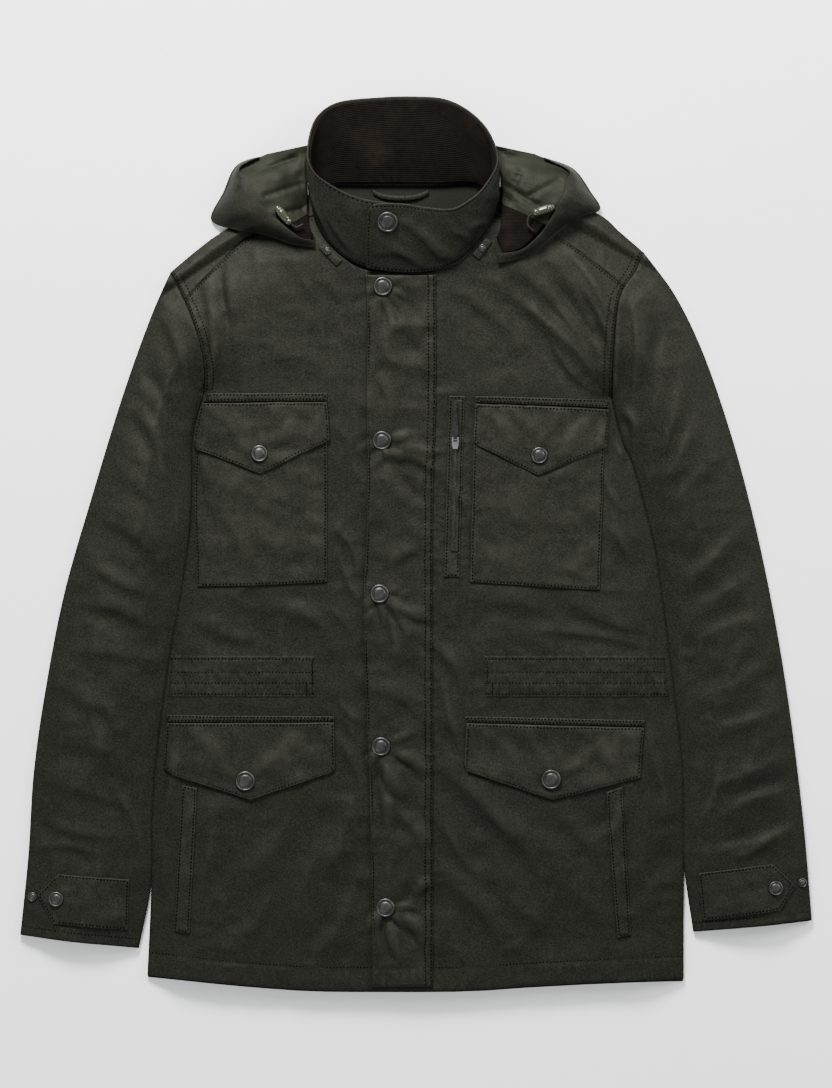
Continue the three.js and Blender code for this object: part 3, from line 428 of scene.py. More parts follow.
def wear_effect():
    """Where the cloth stands proud and rubs: the worn value that each piece's points carry."""
    tree, given, out = effect("rubbed", [("Amount", 0.5)], [("Mask", "NodeSocketFloat")])
    worn = node(tree, "ShaderNodeAttribute", attribute_name="worn").outputs["Fac"]
    broken = node(tree, "ShaderNodeTexNoise", {"Vector": place(tree), "Scale": 160.0, "Detail": 3.0})
    patchy = node(tree, "ShaderNodeMapRange", {"Value": broken.outputs["Fac"], "From Min": 0.35,
                                               "From Max": 0.65, "To Min": 0.45, "To Max": 1.0})
    share = node(tree, "ShaderNodeMath", {0: worn, 1: patchy.outputs[0]}, operation="MULTIPLY")
    scaled = node(tree, "ShaderNodeMath", {0: share.outputs[0], 1: given["Amount"]}, operation="MULTIPLY",
                  use_clamp=True)
    tree.links.new(scaled.outputs[0], out["Mask"])
    return tree


effects = {"weave": weave_effect(), "mottle": mottle_effect(), "grain": grain_effect(),
           "crumple": crumple_effect(), "wear": wear_effect()}


def use(tree, name, **values):
    made = tree.nodes.new("ShaderNodeGroup")
    made.node_tree = effects[name]
    for key, value in values.items():
        made.inputs[key.capitalize()].default_value = value
    return made.outputs


def material(name, **constants):
    """A material with its Principled shader's own sockets set, and that shader and its tree."""
    made = bpy.data.materials.new(name)
    made.use_nodes = True
    tree = made.node_tree
    shader = tree.nodes["Principled BSDF"]
    for key, value in constants.items():
        shader.inputs[key.replace("_", " ")].default_value = value
    return made, tree, shader


def blended(tree, share, first, second):
    """A colour between two, each a colour or a socket."""
    mix = tree.nodes.new("ShaderNodeMix")
    mix.data_type = "RGBA"
    tree.links.new(share, mix.inputs["Factor"])
    for socket, value in ((mix.inputs[6], first), (mix.inputs[7], second)):
        if isinstance(value, bpy.types.NodeSocket):
            tree.links.new(value, socket)
        else:
            socket.default_value = (*value, 1)
    return mix.outputs[2]


def ranged(tree, value, low, high):
    return node(tree, "ShaderNodeMapRange", {"Value": value, "To Min": low, "To Max": high}).outputs[0]


def bumped(tree, shader, heights):
    """Bumps one over the other, each given as (height, depth in metres, strength)."""
    normal = None
    for height, depth, strength in heights:
        bump = node(tree, "ShaderNodeBump", {"Height": height, "Distance": depth, "Strength": strength})
        if normal is not None:
            tree.links.new(normal, bump.inputs["Normal"])
        normal = bump.outputs["Normal"]
    tree.links.new(normal, shader.inputs["Normal"])


def cloth(name, dark, light, rubbed, rough, wear=0.5, crumple=0.6, sheen=0.04, mottle=9.0, specular=0.5):
    made, tree, shader = material(name, Specular_IOR_Level=specular, Specular_Tint=(0.99, 1.0, 0.86, 1.0),
                                  Sheen_Weight=sheen, Sheen_Roughness=0.4)
    mask = use(tree, "mottle", scale=mottle)["Mask"]
    grain = use(tree, "grain", scale=640.0)
    worn = use(tree, "wear", amount=wear)["Mask"]
    clouded = blended(tree, mask, dark, light)
    speckled = blended(tree, ranged(tree, grain["Speckle"], -0.15, 0.62), clouded, rubbed)
    tree.links.new(blended(tree, worn, speckled, rubbed), shader.inputs["Base Color"])
    tree.links.new(ranged(tree, mask, rough[0], rough[1]), shader.inputs["Roughness"])
    bumped(tree, shader, [
        (use(tree, "crumple", scale=42.0)["Height"], 0.0009, crumple),
        (use(tree, "weave", thread=0.0011)["Height"], 0.00012, 0.35),
        (grain["Height"], 0.0004, 0.8)])
    return made


def waxed_cotton():
    return cloth("waxed_cotton", (0.0014, 0.0015, 0.0008), (0.0025, 0.0026, 0.0016), (0.0170, 0.0174, 0.0132),
                 (0.57, 0.69), specular=0.12, sheen=0.0)


def waxed_trim():
    return cloth("waxed_trim", (0.0016, 0.0017, 0.0010), (0.0028, 0.0029, 0.0018), (0.0195, 0.0200, 0.0152),
                 (0.55, 0.68), wear=0.6, mottle=16.0, specular=0.122, sheen=0.0)


def lining():
    return cloth("plain_lining", (0.0045, 0.0045, 0.0036), (0.0070, 0.0071, 0.0055), (0.012, 0.012, 0.0095),
                 (0.7, 0.8), wear=0.2, crumple=0.4, sheen=0.0, specular=0.1)


def quilted_nylon():
    return cloth("quilted_nylon", (0.0022, 0.0025, 0.0011), (0.0042, 0.0047, 0.0022), (0.0080, 0.0088, 0.0046),
                 (0.5, 0.62), wear=0.4, crumple=0.8, mottle=20.0, specular=0.10, sheen=0.0)


def corduroy():
    made, tree, shader = material("corduroy", Specular_IOR_Level=0.06, Sheen_Weight=0.0, Sheen_Roughness=0.5,
                                  Roughness=0.9)
    wale = node(tree, "ShaderNodeTexWave", {"Vector": tree.nodes.new("ShaderNodeUVMap").outputs["UV"],
                                            "Scale": 0.314 / 0.0014, "Distortion": 0.8, "Detail": 2.0,
                                            "Detail Scale": 0.6}, bands_direction="Y").outputs["Fac"]
    mask = use(tree, "mottle", scale=15.0)["Mask"]
    # Broad clouds of darker and lighter pile: partly the corduroy's own uneven tone, partly painted shade of its soft
    # folds.
    tone_and_fold_shade = blended(tree, mask, (0.0012, 0.0009, 0.0006), (0.0086, 0.0064, 0.0043))
    # The grooves between the wales are painted darker, as the shade that falls in them; the same bands raise the wales
    # in the bump.
    with_groove_shade = blended(tree, wale, (0.0012, 0.0008, 0.0006), tone_and_fold_shade)
    tree.links.new(blended(tree, use(tree, "wear", amount=0.5)["Mask"], with_groove_shade, (0.017, 0.0118, 0.0082)),
                   shader.inputs["Base Color"])
    bumped(tree, shader, [(wale, 0.0005, 0.6), (use(tree, "grain", scale=1500.0)["Height"], 0.0004, 0.6)])
    return made


def metal(name, dark, light, rough, scratches=0.3):
    made, tree, shader = material(name, Metallic=1.0, Specular_IOR_Level=0.5)
    mask = use(tree, "mottle", scale=120.0)["Mask"]
    worn = use(tree, "wear", amount=0.9)["Mask"]
    patina = blended(tree, mask, dark, tuple((a + b) / 2 for a, b in zip(dark, light)))
    tree.links.new(blended(tree, worn, patina, light), shader.inputs["Base Color"])
    tree.links.new(ranged(tree, mask, rough[0], rough[1]), shader.inputs["Roughness"])
    bumped(tree, shader, [(use(tree, "grain", scale=2600.0)["Height"], 0.00005, scratches)])
    return made


def lock_plastic():
    made, tree, shader = material("lock_plastic", Specular_IOR_Level=0.5, Transmission_Weight=0.25,
                                  Coat_Weight=0.15, Coat_Roughness=0.2)
    mask = use(tree, "mottle", scale=90.0)["Mask"]
    tree.links.new(blended(tree, mask, (0.016, 0.018, 0.008), (0.032, 0.035, 0.017)), shader.inputs["Base Color"])
    tree.links.new(ranged(tree, mask, 0.16, 0.3), shader.inputs["Roughness"])
    bumped(tree, shader, [(use(tree, "grain", scale=700.0)["Height"], 0.00005, 0.2)])
    return made


def thread():
    made, tree, shader = material("thread", Specular_IOR_Level=0.015)
    grain = use(tree, "grain", scale=2400.0)
    # The thread is dark, made near black and darker than the cloth, so that each stitch also carries the painted shade
    # of its needle holes.
    tree.links.new(blended(tree, grain["Speckle"], (0.0004, 0.0004, 0.0003), (0.0014, 0.0014, 0.0011)),
                   shader.inputs["Base Color"])
    tree.links.new(ranged(tree, grain["Speckle"], 0.5, 0.75), shader.inputs["Roughness"])
    bumped(tree, shader, [(grain["Height"], 0.0001, 0.4)])
    return made


finish = {
    "waxed": waxed_cotton(),
    "trim": waxed_trim(),
    "lining": lining(),
    "nylon": quilted_nylon(),
    "corduroy": corduroy(),
    "gunmetal": metal("gunmetal", (0.018, 0.018, 0.017), (0.105, 0.105, 0.100), (0.34, 0.48)),
    "pull": metal("dark_pull_metal", (0.012, 0.012, 0.011), (0.07, 0.07, 0.067), (0.34, 0.5)),
    "bright": metal("bright_metal", (0.26, 0.26, 0.25), (0.50, 0.50, 0.49), (0.2, 0.34)),
    "teeth": metal("zip_teeth_metal", (0.03, 0.03, 0.028), (0.15, 0.15, 0.14), (0.3, 0.45)),
    "plastic": lock_plastic(),
    "thread": thread(),
}


# Pieces
def turned_out(points, faces):
    """The faces of a closed form, turned to face out of it."""
    first, rest = faces[:, 0], faces[:, 1:]
    volume = 0.0
    for k in range(rest.shape[1] - 1):
        volume += (points[first] * np.cross(points[rest[:, k]], points[rest[:, k + 1]])).sum()
    return faces if volume > 0 else faces[:, ::-1]


def piece(name, points, faces, finishes, kinds=None, nodes=(), worn=None, uv=None, body="jacket"):
    """A finished piece of the jacket. kinds gives each face's place in finishes."""
    mesh = bpy.data.meshes.new(name)
    mesh.from_pydata((np.asarray(points) * MM).tolist(), [], np.asarray(faces).tolist())
    for each in finishes:
        mesh.materials.append(finish[each])
    if kinds is not None:
        mesh.polygons.foreach_set("material_index", np.asarray(kinds, np.int32))
    mesh.shade_smooth()
    shown = mesh.attributes.new("worn", "FLOAT", "POINT")
    shown.data.foreach_set("value", np.zeros(len(points), np.float32) if worn is None
                           else np.clip(worn, 0, 1).astype(np.float32))
    if uv is not None:
        corner = np.zeros(len(mesh.loops), np.int32)
        mesh.loops.foreach_get("vertex_index", corner)
        layer = mesh.uv_layers.new(name="pattern")
        layer.data.foreach_set("uv", (np.asarray(uv) * MM)[corner].astype(np.float32).ravel())
    mesh.update()
    made = bpy.data.objects.new(name, mesh)
    bpy.context.scene.collection.objects.link(made)
    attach(made, body)
    if nodes:
        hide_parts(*nodes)
    return made


def net_faces(rows, columns, start=0):
    a = (start + np.arange(rows - 1)[:, None] * columns + np.arange(columns - 1)[None]).ravel()
    return np.stack([a, a + columns, a + columns + 1, a + 1], -1)


def rim_of(rows, columns):
    top = np.arange(columns - 1)
    right = np.arange(rows - 1) * columns + columns - 1
    bottom = (rows - 1) * columns + np.arange(columns - 1, 0, -1)
    left = np.arange(rows - 1, 0, -1) * columns
    return np.concatenate([top, right, bottom, left])


def closed(upper, lower, bulge=0.5):
    """The cloth between two nets, with a rounded rim. Kinds: 0 for the upper side and the rim, 1 below."""
    rows, columns = upper.shape[:2]
    rim = rim_of(rows, columns)
    flat_upper, flat_lower = upper.reshape(-1, 3), lower.reshape(-1, 3)
    j, i = np.divmod(rim, columns)
    inner = upper[np.clip(j, 1, rows - 2), np.clip(i, 1, columns - 2)]
    out = flat_upper[rim] - inner
    out /= np.maximum(np.linalg.norm(out, axis=1, keepdims=True), 1e-9)
    thick = np.linalg.norm(flat_upper[rim] - flat_lower[rim], axis=1, keepdims=True)
    between = [flat_upper[rim] * (1 - t) + flat_lower[rim] * t + out * thick * bulge * math.sin(math.pi * t)
               for t in (0.3, 0.7)]
    count = rows * columns
    points = np.vstack([flat_upper, flat_lower, *between])
    loops = [rim, 2 * count + np.arange(len(rim)), 2 * count + len(rim) + np.arange(len(rim)), count + rim]
    walls = [np.stack([a, b, np.roll(b, -1), np.roll(a, -1)], -1) for a, b in zip(loops[:-1], loops[1:])]
    top, below = net_faces(rows, columns)[:, ::-1], net_faces(rows, columns, count)
    faces = np.vstack([top[:, ::-1], below[:, ::-1], *[w[:, ::-1] for w in walls]])
    kinds = np.concatenate([np.zeros(len(top)), np.ones(len(below)), np.zeros(sum(map(len, walls)))])
    return points, turned_out(points, faces), kinds, (flat_upper, flat_lower, between)


def spread_over(values, upper_shape, loops=2):
    """A value for each point of the upper net, carried to the lower net and the rim of closed()."""
    rows, columns = upper_shape[:2]
    flat = np.asarray(values, float).reshape(rows * columns, -1)
    rim = rim_of(rows, columns)
    out = np.concatenate([flat, flat, *[flat[rim]] * loops])
    return out[:, 0] if out.shape[1] == 1 else out


def net_normals(grid):
    across = np.gradient(grid, axis=1)
    down = np.gradient(grid, axis=0)
    normal = np.cross(across, down)
    normal /= np.maximum(np.linalg.norm(normal, axis=-1, keepdims=True), 1e-9)
    return normal if normal[..., 2].mean() > 0 else -normal


def flat_area(grid):
    """The area of a net in square millimetres."""
    a, b, c, d = grid[:-1, :-1], grid[:-1, 1:], grid[1:, 1:], grid[1:, :-1]
    return float(np.linalg.norm(np.cross(c - a, d - b), axis=-1).sum() / 2)


NARROWEST = 11.0  # a narrow piece is cut this wide, as its edges are turned in


def declare(grid):
    """Works out the width, length and area of the net that a piece was made from, and keeps none of them."""
    wide = max(NARROWEST, np.linalg.norm(np.diff(grid, axis=1), axis=-1).sum(1).max())
    long = max(NARROWEST, np.linalg.norm(np.diff(grid, axis=0), axis=-1).sum(0).max())
    area = flat_area(grid)


# Creases of the whole jacket: start, end, width, rise, bow, lean
CREASES = [
    # wearer's left chest, from the shoulder to the armpit
    ((96, 276), (176, 176), 7, 1.5, 0.05, 0.7), ((120, 286), (190, 190), 5, -1.2, -0.04, 0.6),
    ((146, 292), (192, 214), 4.5, 1.1, 0.06, 0.5), ((84, 250), (158, 170), 6, 1.0, 0.08, 0.5),
    ((110, 232), (186, 152), 5, 1.1, 0.05, 0.6), ((62, 236), (110, 176), 7, 0.7, 0.1, 0.4),
    ((160, 262), (194, 186), 3.5, 0.9, 0.03, 0.5), ((170, 236), (190, 160), 3.5, -0.9, 0.05, 0.5),
    ((132, 204), (180, 148), 4, 0.8, -0.1, 0.4), ((36, 246), (84, 210), 6, 0.6, 0.1, 0.4),
    # wearer's right chest and armhole
    ((-206, 262), (-200, 176), 5, 1.3, 0.05, 0.6), ((-194, 268), (-184, 190), 4, -1.0, 0.04, 0.5),
    ((-182, 282), (-176, 214), 5, 0.9, -0.04, 0.4), ((-160, 290), (-148, 236), 6, 0.6, 0.06, 0.4),
    ((-120, 284), (-86, 236), 7, 0.7, -0.1, 0.4), ((-96, 262), (-64, 226), 6, 0.6, 0.08, 0.4),
    ((-196, 200), (-206, 150), 4, 1.0, 0.05, 0.5), ((-150, 200), (-110, 158), 8, 0.5, 0.1, 0.3),
    # round the storm flap
    ((-30, 90), (24, 66), 5, 1.4, 0.12, 0.7), ((-22, 82), (14, 40), 6, -1.0, -0.1, 0.5),
    ((-12, 100), (34, 92), 4, 0.9, -0.12, 0.5), ((-26, -20), (6, -6), 5, 0.9, 0.1, 0.5),
    ((-30, -58), (-6, -96), 5, 1.5, 0.12, 0.6), ((-22, -52), (16, -72), 4.5, 1.2, -0.14, 0.6),
    ((-28, -66), (-20, -112), 4, 1.0, 0.1, 0.5), ((8, -92), (36, -120), 6, 0.9, 0.1, 0.4),
    ((-24, -204), (10, -230), 4.5, 1.3, 0.14, 0.6), ((-30, -210), (-8, -250), 5, 1.1, -0.1, 0.5),
    ((-34, -226), (-26, -286), 5, 0.9, 0.05, 0.4), ((-18, -262), (12, -300), 6, 0.8, 0.1, 0.4),
    ((-20, -362), (8, -392), 4.5, 1.2, 0.14, 0.6), ((-24, -366), (-10, -410), 4, 1.0, -0.1, 0.5),
    ((0, -346), (16, -330), 4, 0.8, 0.1, 0.4), ((-38, 168), (-24, 130), 5, 0.7, 0.1, 0.4),
    ((-30, 240), (-22, 206), 3.5, 1.0, 0.05, 0.5), ((-8, 214), (16, 180), 6, 0.6, 0.1, 0.4),
    ((-14, 28), (14, -12), 7, 0.7, 0.1, 0.4), ((-36, -140), (8, -172), 6, 0.9, 0.1, 0.5),
    # wearer's right, between the pocket and the storm flap
    ((-80, 20), (-54, -34), 5, 1.0, 0.1, 0.5), ((-72, -8), (-50, -60), 4.5, 0.8, -0.08, 0.5),
    ((-84, 120), (-58, 86), 6, 0.6, 0.1, 0.4), ((-90, -60), (-56, -96), 6, 0.8, 0.1, 0.4),
    ((-150, -62), (-80, -86), 7, 0.9, 0.1, 0.4), ((-216, -72), (-150, -92), 7, 1.0, -0.08, 0.5),
    ((-92, -158), (-54, -196), 6, 1.1, 0.12, 0.5), ((-76, -150), (-48, -176), 4, 0.9, -0.1, 0.5),
    ((-74, -190), (-50, -250), 6, 1.0, 0.08, 0.5), ((-58, -236), (-92, -330), 9, 1.0, 0.05, 0.5),
    ((-70, -262), (-120, -372), 10, 0.9, -0.05, 0.4), ((-120, -262), (-180, -330), 10, 0.7, 0.08, 0.4),
    ((-58, -330), (-100, -410), 8, 0.9, 0.06, 0.4), ((-140, -340), (-196, -404), 9, 0.8, 0.08, 0.4),
    ((-196, -258), (-208, -330), 7, 0.7, 0.05, 0.4), ((-236, -190), (-246, -262), 6, 0.8, 0.05, 0.4),
    # wearer's left, zip panel to side
    ((30, 60), (54, 20), 4, 0.8, 0.1, 0.4), ((190, 20), (214, -30), 6, 1.0, 0.08, 0.5),
    ((184, 76), (206, 30), 5, 1.1, -0.06, 0.5), ((196, 96), (224, 50), 4.5, 1.2, 0.06, 0.6),
    ((66, -54), (138, -72), 8, 0.9, 0.08, 0.4), ((150, -56), (228, -84), 7, 1.1, -0.06, 0.5),
    ((120, -84), (236, -104), 5, 1.0, 0.04, 0.5), ((24, -100), (48, -150), 6, 1.2, 0.1, 0.5),
    ((28, -130), (44, -190), 5, 1.1, -0.06, 0.5), ((22, -166), (46, -206), 5, 0.9, 0.1, 0.5),
    ((30, -222), (96, -296), 8, 1.3, 0.06, 0.6), ((24, -262), (70, -330), 7, 1.0, -0.06, 0.5),
    ((60, -258), (124, -318), 9, 1.0, 0.08, 0.4), ((34, -330), (88, -392), 9, 1.2, 0.08, 0.5),
    ((78, -318), (132, -380), 9, 0.8, -0.06, 0.4), ((140, -262), (182, -318), 8, 0.8, 0.08, 0.4),
    ((150, -330), (196, -392), 9, 0.7, 0.06, 0.4), ((206, -246), (186, -290), 6, 0.8, 0.06, 0.4),
    ((232, -200), (246, -270), 6, 0.8, 0.05, 0.4), ((226, -120), (244, -160), 5, 0.9, 0.1, 0.5),
    # wearer's right sleeve
    ((-250, 230), (-222, 150), 6, 1.2, 0.06, 0.6), ((-270, 176), (-230, 108), 7, -1.1, 0.06, 0.5),
    ((-284, 140), (-236, 78), 7, 1.1, 0.05, 0.5), ((-296, 92), (-246, 40), 8, 0.9, -0.06, 0.5),
    ((-312, 30), (-246, -18), 7, 1.1, 0.06, 0.6), ((-322, -16), (-260, -48), 6, 1.0, -0.05, 0.5),
    ((-336, -56), (-262, -78), 6, 1.1, 0.06, 0.6), ((-340, -104), (-270, -112), 7, 0.9, 0.05, 0.5),
    ((-352, -130), (-284, -168), 7, 1.0, -0.06, 0.5), ((-356, -196), (-290, -206), 6, 0.9, 0.06, 0.5),
    ((-366, -230), (-276, -262), 7, 1.0, 0.05, 0.5), ((-368, -268), (-300, -286), 5, 0.9, -0.06, 0.5),
    ((-300, -230), (-266, -300), 5, 0.8, 0.06, 0.4), ((-360, -296), (-310, -306), 4.5, 0.9, 0.1, 0.5),
    ((-262, 120), (-246, 60), 5, 0.9, 0.05, 0.5), ((-326, -150), (-306, -210), 6, 0.7, 0.06, 0.4),
    ((-384, -352), (-340, -388), 4, 0.5, 0.05, 0.4), ((-306, -150), (-290, -190), 6, 0.7, 0.06, 0.4),
    # wearer's left sleeve
    ((212, 240), (214, 150), 6, 1.4, 0.05, 0.6), ((228, 226), (232, 132), 5, -1.1, 0.05, 0.5),
    ((246, 206), (236, 116), 6, 1.1, -0.05, 0.5), ((262, 176), (238, 84), 7, 0.9, 0.05, 0.5),
    ((276, 132), (240, 60), 6, 1.0, 0.06, 0.6), ((300, 86), (252, 34), 7, 0.9, -0.06, 0.5),
    ((318, 18), (262, -36), 7, 1.1, 0.06, 0.6), ((330, -26), (272, -62), 6, 0.9, 0.06, 0.5),
    ((342, -70), (276, -96), 7, 1.0, -0.05, 0.5), ((350, -110), (284, -150), 7, 0.9, 0.06, 0.5),
    ((356, -160), (292, -180), 6, 1.0, 0.05, 0.6), ((364, -206), (286, -236), 7, 1.1, 0.05, 0.5),
    ((370, -240), (306, -262), 5, 0.9, -0.06, 0.5), ((372, -276), (290, -300), 5, 1.0, 0.06, 0.5),
    ((300, -210), (274, -280), 5, 0.8, 0.06, 0.4), ((352, -284), (310, -306), 4, 0.9, 0.1, 0.5),
    ((322, -90), (300, -140), 6, 0.7, 0.06, 0.4), ((338, -190), (318, -230), 6, 0.6, 0.06, 0.4),
    # the loose cloth of the wearer's left armpit
    ((200, 130), (214, 106), 4, 2.2, 0.2, 0.5), ((206, 112), (212, 82), 4, 2.4, -0.2, 0.4),
    ((198, 106), (206, 74), 3, -1.8, 0.1, 0.4),
]

PLACKET_FREE = [(-49, 263), (-47, 207), (-48, 140), (-47, 72), (-48, 5), (-51, -50), (-49.5, -114),
                (-46, -219), (-44, -285), (-43, -350), (-42, -434)]
PLACKET_SEWN = [(20.6, 263), (20.6, 145), (17.6, 23), (17.6, -220), (17.6, -434)]
PLACKET_STUDS = [(-31.6, 252), (-32, 101.7), (-34.3, -49.3), (-32.7, -198.4), (-28, -356.5)]
TUNNEL_ROWS = {"right": [((-240, y), (-98, y)) for y in (-113.2, -126, -136.7, -147.4)],
               "left": [((67.6, y), (247, y)) for y in (-113.2, -126, -136.7, -147.4)]}


def arm_seam(armhole, down):
    return curve(armhole)(steps(24))


def forward_seam(armhole, down, seam):
    return curve([curve(armhole)(np.array([down]))[0], *seam])


def hem_row(hem, up):
    return moved(curve(hem), 0, up)(steps(40))


def cuff_row(cuff, up):
    return moved(curve(cuff), 0, up)(steps(16))


CREASED = 1.85  # how sharply the jacket is creased


def ridged(cell, seed, rise):
    """Facets that meet in soft ridges, as stiff cloth crumples."""
    made = rumple(cell, seed)
    return rise * (0.7 - np.sqrt(made * made + 0.02))


def relief_of_cloth():
    """Every crease, pucker and seam line of the upper layer, over the lie of the cloth."""
    relief = 0.5 * rumple(46, 3) + 0.3 * rumple(21, 5) + 0.1 * rumple(8, 7) + ridged(36, 13, 1.0) + ridged(16, 15, 0.5)
    for start, end, width, rise, bow, lean in CREASES:
        low = 1.35 if start[1] < -180 and abs(start[0]) < 250 else 1.0
        crease(relief, start, end, width, CREASED * low * rise, bow, lean)
    fine = np.random.default_rng(11)
    for _ in range(260):
        # faint short wrinkles, which lie mostly across the sleeves and down the body
        x, y = fine.uniform(-370, 370), fine.uniform(-420, 280)
        turn = fine.normal(-0.9 if x > 0 else -2.2, 0.5)
        long = fine.uniform(14, 42)
        way = np.array([math.cos(turn), math.sin(turn)]) * long
        crease(relief, (x, y), (x + way[0], y + way[1]), fine.uniform(2.2, 4.5),
               fine.uniform(0.15, 0.42) * fine.choice([1, -1]), fine.uniform(-0.12, 0.12))
    inner = smooth(edge_away / 14)
    relief *= 0.25 + 0.75 * inner
    for side in ("right", "left"):
        hand = 1 if side == "left" else -1
        armhole, down = (armhole_left, SEAM_DOWN_LEFT) if hand > 0 else (armhole_right, SEAM_DOWN_RIGHT)
        seam = forward_seam_left if hand > 0 else forward_seam_right
        hem, cuff = (hem_left, cuff_left) if hand > 0 else (hem_right, cuff_right)
        puckers(relief, curve(armhole)(steps(20)), 21 + hand, 0.55, 13, 8)
        puckers(relief, forward_seam(armhole, down, seam)(steps(12)), 31 + hand, 0.3, 9, 7)
        for start, end in TUNNEL_ROWS[side]:
            puckers(relief, [start, end], int(abs(start[1])) + hand, 0.55, 10, 5.5)
        seam_groove(relief, curve(armhole)(steps(20)), 0.7, 1.6)
        seam_groove(relief, forward_seam(armhole, down, seam)(steps(12)), 0.5, 1.3)
        seam_groove(relief, hem_row(hem, 22), 0.3, 1.0)
        puckers(relief, hem_row(hem, 15), 41 + hand, 0.4, 16, 9)
        seam_groove(relief, cuff_row(cuff, 9), 0.3, 1.0)
        puckers(relief, cuff_row(cuff, 6), 51 + hand, 0.35, 10, 7)
    puckers(relief, [(20.6, 262), (20.6, 145), (17.6, 23), (17.6, -432)], 61, 0.5, 11, 8)
    puckers(relief, [(28, 140), (26, -34)], 62, 0.45, 9, 6)
    puckers(relief, [(50, 140), (46, -34)], 63, 0.45, 9, 6)
    for k, at in enumerate(PLACKET_STUDS):
        star(relief, at, 24, 70 + k, 1.1, 8, -2.6, 3.4)
    for k, (a, b) in enumerate(zip(PLACKET_STUDS[:-1], PLACKET_STUDS[1:])):
        # the storm flap bows up a little between its studs
        crease(relief, (a[0] + 6, a[1] - 18), (b[0] + 6, b[1] + 18), 15, 0.9, 0.01 * (-1) ** k, 0.2)
    return relief


relief = relief_of_cloth()
surface = lie + relief


def worn_of(raster, gain=1.0, cell=3):
    """Where cloth stands proud of what is round it, from 0 to 1."""
    mean = raster.copy()
    for axis in (0, 1):
        total = np.cumsum(np.pad(mean, [(cell + 1, cell) if a == axis else (0, 0) for a in (0, 1)],
                                 mode="edge"), axis=axis)
        high = np.take(total, np.arange(2 * cell + 1, total.shape[axis]), axis=axis)
        low = np.take(total, np.arange(0, total.shape[axis] - 2 * cell - 1), axis=axis)
        mean = (high - low) / (2 * cell + 1)
    return np.clip((raster - mean) * gain, 0, 1)


proud = worn_of(surface, 2.2, 4)


def fine_steps(length, spacing=FINE, rim=(0.35, 0.9, 1.7)):
    """Shares along an edge of that length: close together at both ends, and evenly spaced between."""
    ends = np.array([0, *rim]) / length
    middle = np.linspace(ends[-1], 1 - ends[-1], max(3, int(length / spacing)))
    return np.concatenate([ends[:-1], middle, 1 - ends[-2::-1]])


def length_of(line):
    return float(np.linalg.norm(np.diff(line(steps(60)), axis=0), axis=1).sum())


def panel_wear(grid):
    return sample(proud, grid[..., 0], grid[..., 1])


def front(name, seam, down, neck, armhole, side, hem, towards, node_name):
    inward = lambda line: lambda t: line(t) - np.stack([towards * SEAM * t, 0 * t], -1)
    top = inward(joined(forward_seam(armhole, down, seam), curve(neck), 0.5))
    share = 5 / 30
    outer = joined(part(curve(armhole), down, 1), curve(side), share)
    inner = moved(chain([neck[-1], hem[-1]]), -towards * SEAM, 0)
    us, vs = np.linspace(0, 1, 92), np.linspace(0, 1, 282)
    flat = net(top, inward(curve(hem)), outer, inner, us, vs)
    upper, _ = lifted(flat, 0)
    # the folded side rolls down to the back, and along the armhole the edge is only turned in
    folded = smooth((vs - share) / 0.05)[:, None]
    out = upper[:, 0] - upper[:, 2]
    out[:, 2] = 0
    out /= np.linalg.norm(out, axis=1, keepdims=True)
    down_z = np.array([0, 0, 1.0])
    roll = [upper[:, 0] + out * (reach * folded - 0.1) - down_z * drop
            for reach, drop in ((0.5, 2.5), (0.85, 1.7), (0.6, 0.8))]
    upper = np.concatenate([np.stack(roll, 1), upper], 1)
    wear = panel_wear(upper)
    lower = upper - net_normals(upper) * CLOTH
    points, faces, kinds, _ = closed(upper, lower)
    made = piece(name, points, faces, ["waxed", "lining"], kinds, [node_name],
                 spread_over(wear, upper.shape))
    declare(upper)
    return made


def shoulder(name, line, seam, down, armhole, node_name):
    top = curve(line)
    lower = moved(forward_seam(armhole, down, seam), 0, 3 * SEAM)
    outer = lambda t: part(curve(armhole), 0, down)(t) + np.stack([0 * t, 3 * SEAM * t], -1)
    ends = chain([top(np.array([1.0]))[0], lower(np.array([1.0]))[0]])
    flat = net(top, lower, outer, ends, np.linspace(0, 1, 64), np.linspace(0, 1, 16))
    upper, _ = lifted(flat, 0)
    out = upper[0] - upper[2]
    out[:, 2] = 0
    out /= np.linalg.norm(out, axis=1, keepdims=True)
    roll = [upper[0] + out * reach - np.array([0, 0, drop]) for reach, drop in
            ((0.5, 2.5), (0.85, 1.7), (0.6, 0.8))]
    upper = np.concatenate([np.stack(roll, 0), upper], 0)
    lower_net = upper - net_normals(upper) * CLOTH
    points, faces, kinds, _ = closed(upper, lower_net)
    made = piece(name, points, faces, ["waxed", "lining"], kinds, [node_name],
                 spread_over(panel_wear(upper), upper.shape))
    declare(upper)
    return made


